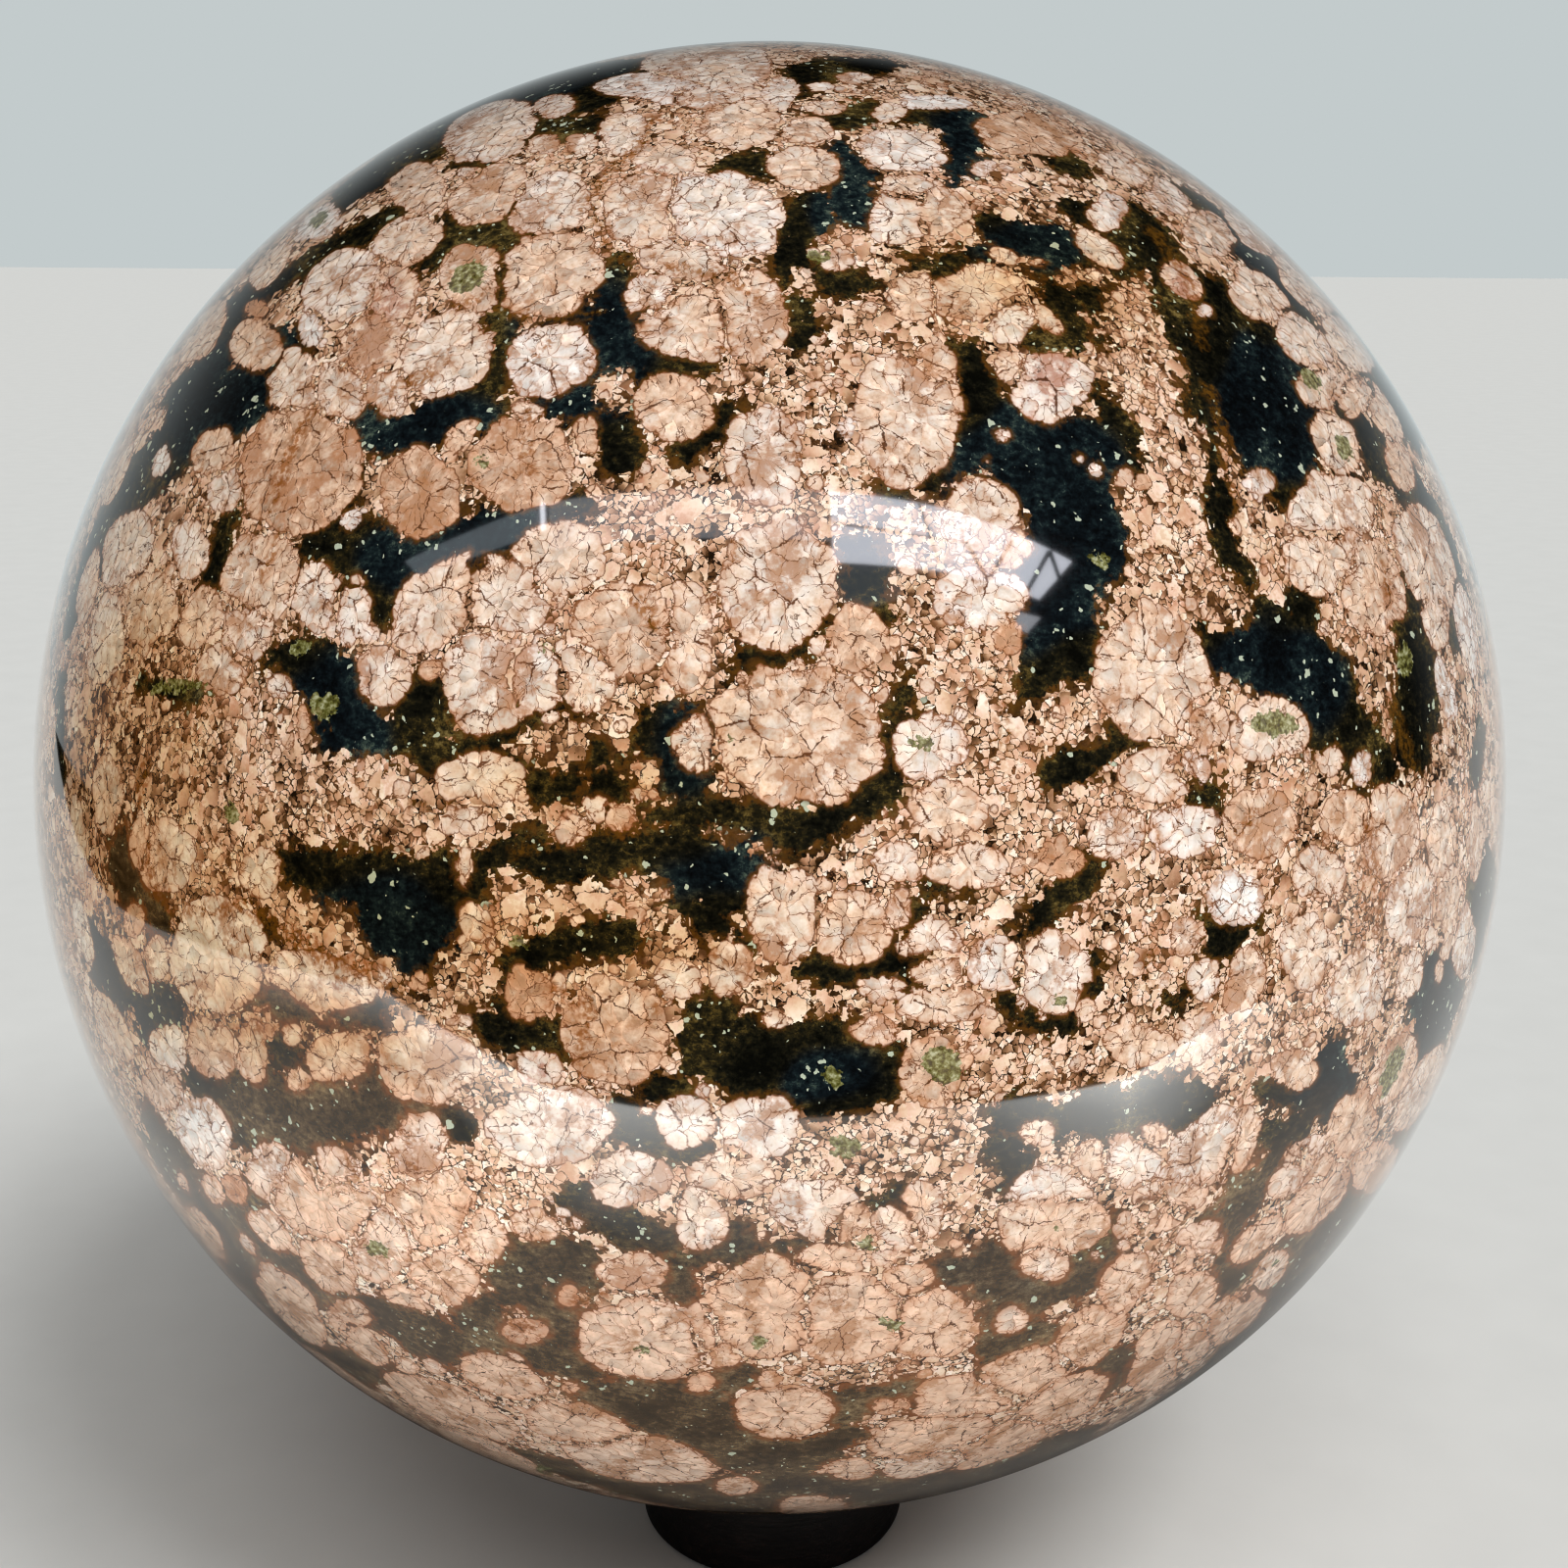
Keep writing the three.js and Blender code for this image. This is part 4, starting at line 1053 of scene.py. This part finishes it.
    # Olive-green grains with ragged edges, and the wide places where the stone is browner, and where it is
    # painted paler and brighter as painted light.
    greenMask = add("MapRange", [stir(green, (fray, 1.3), (crumble, 0.2)), -0.03, 0.05, 0, 0.9], smooth)
    greenTone = paintRamp(add("ValToRGB", [stir(-0.52, (crumbB, 2))]), finish["greens"])
    stone = add("Mix", [greenMask, stone, greenTone], blend)
    stone = add("Mix", [tan, stone, "#F4E6CA"], tint)
    # Below 0, tan brightens the stone: painted light.
    stone = add("VectorMath", [stone, add("MapRange", [tan, 0, -1, 1, 1.3])], scaled)

    shader = add("BsdfPrincipled", {
        "Base Color": stone, "Roughness": finish["roughness"], "IOR": finish["ior"],
        "Coat Weight": 1, "Coat IOR": finish["coatIor"], "Coat Roughness": finish["coatRoughness"]})
    add("OutputMaterial", [shader])
    return material


ball = addMesh("agateSphere", surface * metresPerMm + ballCentre, ballFaces, makeAgate())
for name, domain, values in (
        ("stoneDepths", "POINT", np.stack([groundDepth, bulge, tanAndPaintedLight], 1)),
        ("stoneTints", "POINT", stoneTints), ("clouds", "POINT", clouds),
        ("patches", "POINT", np.stack([greenDepth, rustDepth, navy], 1)),
        ("chart", "CORNER", chart), ("rimChart", "CORNER", rimChart), ("ownPlace", "CORNER", ownPlace),
        ("rivalPlace", "CORNER", rivalPlace),
        ("swells", "CORNER", np.stack([ownSwell, rivalSwell, 0 * ownSwell], 1))):
    addField(ball, name, domain, values)
bakeMap = ball.data.uv_layers.new(name="OFBake")
bakeMap.data.foreach_set("uv", bakeLayout(ballAtlas).astype(np.float32).ravel())
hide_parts("agate_ball")
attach(ball, "root")
print("ball made:", len(ball.data.polygons), "faces")


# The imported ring's own sizes, in millimetres, turned finer than its facets.
ringStand = {
    "radius": 10.2,
    "bore": 5.0,
    "footRound": 0.8,
    "rimRound": 0.5,
    "boreChamfer": 0.4,
    "seatClearance": 0.3,
    "segments": 160,
    "edgeSteps": 8,
    "seatSteps": 10,
    "grainWaves": (0.25, 2.2, 2.2),  # to the millimetre: long fibres, 0.5 mm wide
    "toolWaves": (0.05, 0.05, 6),
    "woodColours": ((0.3, "#060404"), (0.55, "#0B0706"), (0.75, "#1E120F")),
    "woodRoughness": (0.42, 0.6),
    "woodRelief": 0.00006,  # metres
    "woodIor": 1.5,
}


# Stained wood, turned and rubbed to a satin: near black with a faint red-brown where the grain takes less
# stain. Rings of fine tool marks run round it.
def makeDarkWood():
    material, add = newMaterial("stainedTurnedWood")

    place = add("TexCoord").outputs["Object"]
    inMm = add("VectorMath", [place, 1000], scaled)
    longGrain = add("VectorMath", [inMm, ringStand["grainWaves"]], times)
    grain = add("TexNoise", [longGrain, 1, 5, 0.65]).outputs["Fac"]
    toolPlace = add("VectorMath", [inMm, ringStand["toolWaves"]], times)
    toolMarks = add("TexNoise", [toolPlace, 1, 2]).outputs["Fac"]
    colour = paintRamp(add("ValToRGB", [grain]), ringStand["woodColours"])
    gloss = add("MapRange", [grain, 0.3, 0.7, *ringStand["woodRoughness"]])
    relief = add("Math", [toolMarks, 0.6, grain], timesPlus)
    bump = add("Bump", {"Strength": 0.5, "Distance": ringStand["woodRelief"], "Height": relief})
    shader = add("BsdfPrincipled", {
        "Base Color": colour, "Roughness": gloss, "IOR": ringStand["woodIor"], "Normal": bump})
    add("OutputMaterial", [shader])
    return material


# The ring's section as radius and height: foot, rounded edge, side, rounded rim, dished seat round the
# ball's own centre, and bore. Each round is centre + radius * (cos t, sin t).
def ringSection():
    s = ringStand
    seatEdge = s["radius"] - s["rimRound"]
    centreHeight = ballCentre[2] / metresPerMm
    reach = ballMm + s["seatClearance"]
    seatRadius = np.linspace(seatEdge, s["bore"], s["seatSteps"] + 1)[1:]
    rimHeight = centreHeight - math.sqrt(reach ** 2 - seatEdge ** 2)
    quarter = np.linspace(0, math.pi / 2, s["edgeSteps"] + 1)
    footEdge = s["radius"] - s["footRound"]
    foot = np.stack([footEdge + s["footRound"] * np.sin(quarter), s["footRound"] * (1 - np.cos(quarter))], 1)
    rim = np.stack([seatEdge + s["rimRound"] * np.cos(quarter),
                    rimHeight - s["rimRound"] * (1 - np.sin(quarter))], 1)
    seat = np.stack([seatRadius, centreHeight - np.sqrt(reach ** 2 - seatRadius ** 2)], 1)
    boreFoot, boreSide = [[s["bore"] + s["boreChamfer"], 0]], [[s["bore"], s["boreChamfer"]]]
    return np.concatenate([boreFoot, foot, rim, seat, boreSide])


# The section turned round the upright axis: x = radius * cos t, y = radius * sin t, closed both ways.
def turnSection(section, segments):
    turn = np.arange(segments) * 2 * math.pi / segments
    corners = np.stack([section[:, 0, None] * np.cos(turn), section[:, 0, None] * np.sin(turn),
                        np.repeat(section[:, 1, None], segments, 1)], -1)
    number = np.arange(corners.shape[0] * segments).reshape(-1, segments)
    above, beside = np.roll(number, -1, 0), np.roll(number, -1, 1)
    return corners.reshape(-1, 3), np.stack([number, beside, np.roll(above, -1, 1), above], -1).reshape(-1, 4)


ringCorners, ringFaces = turnSection(ringSection(), ringStand["segments"])
ring = addMesh("ringStand", ringCorners * metresPerMm, ringFaces, makeDarkWood())
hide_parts("ring_stand")
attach(ring, "root")
print("ring made:", len(ring.data.polygons), "faces")


studio = {
    "floorLight": "#D4D5D3",
    "floorDark": "#CDCECC",
    "weaveWaves": 140,  # to the metre
    # The painted shadow on the floor in the stone's mirror: its darkest level, and its reach.
    "paintedShadeLevel": 0.2,
    "paintedShadeReach": (0.035, 0.085),  # metres from the stand's middle, from the painted shade to full
    # Photo pixels on the edge of the veil, where the ball stops mirroring the floor.
    "veilEdge": ((64, 800), (84, 870), (114, 920), (200, 962), (300, 990), (390, 1010), (470, 1060),
                 (560, 1110), (650, 1130), (750, 1140), (850, 1140), (950, 1130), (1050, 1120), (1150, 1100),
                 (1250, 1035), (1300, 1020)),
    # How bright the floor shines at each of those pixels, and for how many metres it fades towards the ball.
    "veilShine": (0.0, 0.0, 0.0, 0.15, 0.6, 1.1, 1.6, 1.9, 1.7, 1.0, 0.3, 0.3, 1.3, 2.5, 1.1, 0.3),
    "veilFade": 0.06,
    "shineStrength": 4.6,
    "shineHeight": 0.0002,  # metres over the floor
    # Where the veil's edge runs on to both sides, and the floor's far and near corners, in metres.
    "veilEnds": ((-0.9, 1.3, 0), (2.2, -0.05, 0)),
    "farCorners": ((-2.2, 2.7, 0), (2.2, 1.9, 0)),
    "nearCorners": ((-2.2, -2.2, 0), (2.2, -2.2, 0)),
    # Direction, energy and spread in degrees. The first sun throws the shadow to the left and forward, and
    # the second stands for the window before the ball. The front and back ones, level with the floor, stand
    # for the light that the room throws back on the ball and the ring.
    "sunColour": "#FFFFFE",
    "skySun": ((-0.37, 0.44, -0.82), 2.17, 24),
    "windowSun": ((0.01, 0.57, -0.82), 1.02, 28),
    "frontSun": ((0.0, 1.0, 0.08), 2.0, 50),
    "backSun": ((0.1, -0.99, 0.05), 1.9, 60),
    "wallColour": "#C3CBCC",
    "wallRadius": 0.55,
    "wallSteps": 48,
    "wallSpread": 120,  # degrees to each side
    "wallHeights": (-0.01, 0.42),
    "wallGlow": 1.1,
    "roomLight": 0.2,
    "windowHeight": 0.3,
    # Panes of the window as the ball mirrors it: photo pixels round each, and its brightness.
    "panes": (
        (3.4, "#B8C4CC", ((413, 573), (480, 542), (549, 516), (550, 546), (490, 566), (432, 592))),
        (20.0, "#F4F6FF", ((551, 513), (556, 512), (557, 540), (552, 542))),
        (3.6, "#E8ECF4", ((560, 513), (650, 502), (760, 497), (842, 501), (846, 552), (760, 550), (650, 552),
                          (562, 562))),
        (12.5, "#F0F4FF", ((846, 501), (900, 507), (960, 518), (1030, 541), (1094, 573), (1060, 612),
                           (1020, 596), (960, 583), (900, 577), (850, 574))),
        (6.0, "#F4F6FF", ((1038, 624), (1062, 630), (1048, 646), (1036, 640))),
        (1.9, "#B8C4CC", ((850, 577), (900, 580), (925, 584), (918, 612), (880, 622), (850, 612))),
    ),
    # Bars across the window: two photo pixels and a half width in metres.
    "bars": (((1071, 562), (1044, 610), 0.0025), ((1071, 562), (1084, 600), 0.002),
             ((985, 552), (1008, 592), 0.0018), ((1033, 552), (1008, 592), 0.0018),
             ((938, 514), (958, 575), 0.0008), ((850, 534), (925, 545), 0.0012),
             ((925, 545), (1000, 558), 0.0008)),
}


# The point at a height that the ball mirrors at a photo pixel: the line of sight is turned back about the
# ball's normal, r = d - 2 (d . n) n, and followed to that height.
def mirroredAt(pixels, height):
    normal = ontoBall(pixels)
    place = ballCentre + normal * ballRadius
    sight = unit(place - cameraPlace)
    back = sight - 2 * (sight * normal).sum(-1, keepdims=True) * normal
    return place + back * ((height - place[..., 2:]) / back[..., 2:])


# A woven white cloth drawn tight, evened out to a plain pale floor. In the stone's mirror it carries a
# painted shadow close to the stand, as if cast by whoever looks at the stone standing in the light.
def makeFloorMaterial():
    material, add = newMaterial("paleFloor")
    place = add("TexCoord").outputs["Object"]
    weave = add("TexNoise", [place, studio["weaveWaves"], 4])
    colour = add("Mix", [weave.outputs["Fac"], studio["floorDark"], studio["floorLight"]], blend)
    away = add("VectorMath", [place], lengthOf).outputs["Value"]
    paintedShade = add("MapRange", [away, *studio["paintedShadeReach"], studio["paintedShadeLevel"]], smooth)
    # Painted shade, in the mirror only: the floor darkens near the stand.
    mirrored = add("LightPath").outputs["Is Glossy Ray"]
    shade = add("Mix", [mirrored, 1, paintedShade])
    colour = add("VectorMath", [colour, shade], scaled)
    shader = add("BsdfPrincipled", {"Base Color": colour, "Roughness": 0.9, "Specular IOR Level": 0})
    add("OutputMaterial", [shader])
    return material


# A flat sheet from its corners, one face.
def addSheet(name, corners, material):
    sheet = addMesh(name, np.array(corners, float), np.array([range(len(corners))]), material)
    return sheet


# Makes a sheet one that shows only in the stone.
def showOnlyMirrored(sheet):
    sheet.visible_camera = False
    sheet.visible_diffuse = False
    sheet.visible_shadow = False


floorMaterial = makeFloorMaterial()
veilLine = mirroredAt(np.array(studio["veilEdge"]), 0.0)
leftEnd, rightEnd = studio["veilEnds"]
farLeft, farRight = studio["farCorners"]
nearLine = [leftEnd, *map(tuple, veilLine), rightEnd]
addSheet("floorMirrored", [*nearLine, farRight, farLeft], floorMaterial)
frontFloor = addSheet("floorFront", [*studio["nearCorners"], *nearLine[::-1], farLeft], floorMaterial)
frontFloor.visible_glossy = False


def makeGlow(name, colour, strength):
    material, add = newMaterial(name)
    glow = add("Emission", [colour, strength])
    add("OutputMaterial", [glow])
    return material


# The bright front of the floor, seen only in the stone as the top of the veil: it fades towards the ball.
def makeShine():
    material, add = newMaterial("floorShine")
    shine = add("Attribute", (), {"attribute_name": "shine"}).outputs["Fac"]
    strength = add("Math", [shine, studio["shineStrength"]], times)
    under = add("NewGeometry").outputs["Backfacing"]
    above = add("Math", [1, under], minus)
    strength = add("Math", [strength, above], times)
    glow = add("Emission", ["#EDEDEA", strength])
    clear = add("BsdfTransparent")
    both = add("AddShader", [glow, clear])
    add("OutputMaterial", [both])
    return material


fadeWay = unit(veilLine * [1, 1, 0]) * studio["veilFade"]
shineRows = [veilLine, veilLine - fadeWay * 0.4, veilLine - fadeWay]
shineCount = len(veilLine)
shineNumber = np.arange(shineCount - 1)
shineFaces = np.concatenate([np.stack([shineNumber + row * shineCount, shineNumber + 1 + row * shineCount,
                                       shineNumber + 1 + (row + 1) * shineCount,
                                       shineNumber + (row + 1) * shineCount], 1) for row in (0, 1)])
shineCorners = np.concatenate(shineRows) + [0, 0, studio["shineHeight"]]
shineSheet = addMesh("floorShine", shineCorners, shineFaces, makeShine())
addField(shineSheet, "shine", "POINT", np.outer((1.0, 0.5, 0.0), studio["veilShine"]).ravel())
showOnlyMirrored(shineSheet)
shineSheet.visible_diffuse = True

# The window that the stone mirrors as the pale arc across its upper half, a pane at a time, and its bars in
# front.
for number, (strength, colour, outline) in enumerate(studio["panes"]):
    corners = mirroredAt(np.array(outline), studio["windowHeight"])
    showOnlyMirrored(addSheet(f"pane{number}", corners, makeGlow(f"paneGlow{number}", colour, strength)))
barDark = makeGlow("barDark", "#59636E", 1.0)
for number, (start, end, halfWidth) in enumerate(studio["bars"]):
    ends = mirroredAt(np.array([start, end]), studio["windowHeight"] - 0.001)
    across = unit(np.cross(ends[1] - ends[0], [0, 0, 1])) * halfWidth
    showOnlyMirrored(addSheet(f"bar{number}", [ends[0] - across, ends[0] + across, ends[1] + across,
                                               ends[1] - across], barDark))


# A wide, soft sun, which lights surfaces but has no mirror image in the stone. It shines along a direction.
def addSun(name):
    direction, energy, spread = studio[name]
    data = bpy.data.lights.new(name, "SUN")
    data.energy = energy
    data.angle = math.radians(spread)
    data.color = linearColour(studio["sunColour"])[:3]
    sun = bpy.data.objects.new(name, data)
    sun.rotation_euler = Vector(direction).to_track_quat("-Z", "Y").to_euler()
    sun.visible_glossy = False
    scene.collection.objects.link(sun)
    return sun


# The front and back suns light only the ball and the ring.
shown = bpy.data.collections.new("stoneAndStand")
for piece in (ball, ring):
    shown.objects.link(piece)
for name in ("skySun", "windowSun", "frontSun", "backSun"):
    sun = addSun(name)
    if name in ("frontSun", "backSun"):
        sun.light_linking.receiver_collection = shown


# A pale wall far behind, seen only in the stone: the thin light line round its upper edge. It fades upwards
# and to both sides, so that its mirror image has no edge.
def makeWallGlow():
    material, add = newMaterial("wallGlow")
    place = add("SeparateXYZ", [add("TexCoord").outputs["Object"]])
    height = add("MapRange", [place.outputs[2], 0, studio["wallHeights"][1], 1, 0], smooth)
    depth = add("MapRange", [place.outputs[1], 0.12, 0.45], smooth)
    fade = add("Math", [height, depth], times)
    strength = add("Math", [fade, studio["wallGlow"]], times)
    glow = add("Emission", [studio["wallColour"], strength])
    add("OutputMaterial", [glow])
    return material


wallRadius, wallSteps, wallSpread = studio["wallRadius"], studio["wallSteps"], studio["wallSpread"]
wallTurn = np.radians(np.linspace(-wallSpread, wallSpread, wallSteps + 1))
wallCorners = np.concatenate([np.stack([wallRadius * np.sin(wallTurn), wallRadius * np.cos(wallTurn),
                                        np.full(wallSteps + 1, h)], 1) for h in studio["wallHeights"]])
wallNumber = np.arange(wallSteps)
wall = addMesh("paleWall", wallCorners, np.stack([wallNumber, wallNumber + 1, wallNumber + wallSteps + 2,
                                                  wallNumber + wallSteps + 1], 1), makeWallGlow())
showOnlyMirrored(wall)

# The room: a pale backdrop for the camera, and dimmer neutral light for everything else.
world = bpy.data.worlds.new("paleRoom")
scene.world = world
world.use_nodes = True
world.node_tree.nodes.clear()
add = partial(addNode, world.node_tree)
seen = add("LightPath").outputs["Is Camera Ray"]
backdrop = add("Background", [studio["wallColour"], 1])
roomLight = add("Background", ["#FFFFFF", studio["roomLight"]])
room = add("MixShader", [seen, roomLight, backdrop])
add("OutputWorld", [room])
world.cycles_visibility.glossy = False

scene.view_settings.view_transform = "Standard"
scene.view_settings.look = "None"
scene.cycles.max_bounces = 4
scene.cycles.diffuse_bounces = 2
scene.cycles.glossy_bounces = 2
scene.cycles.filter_width = 1.1
print("floor and light placed")
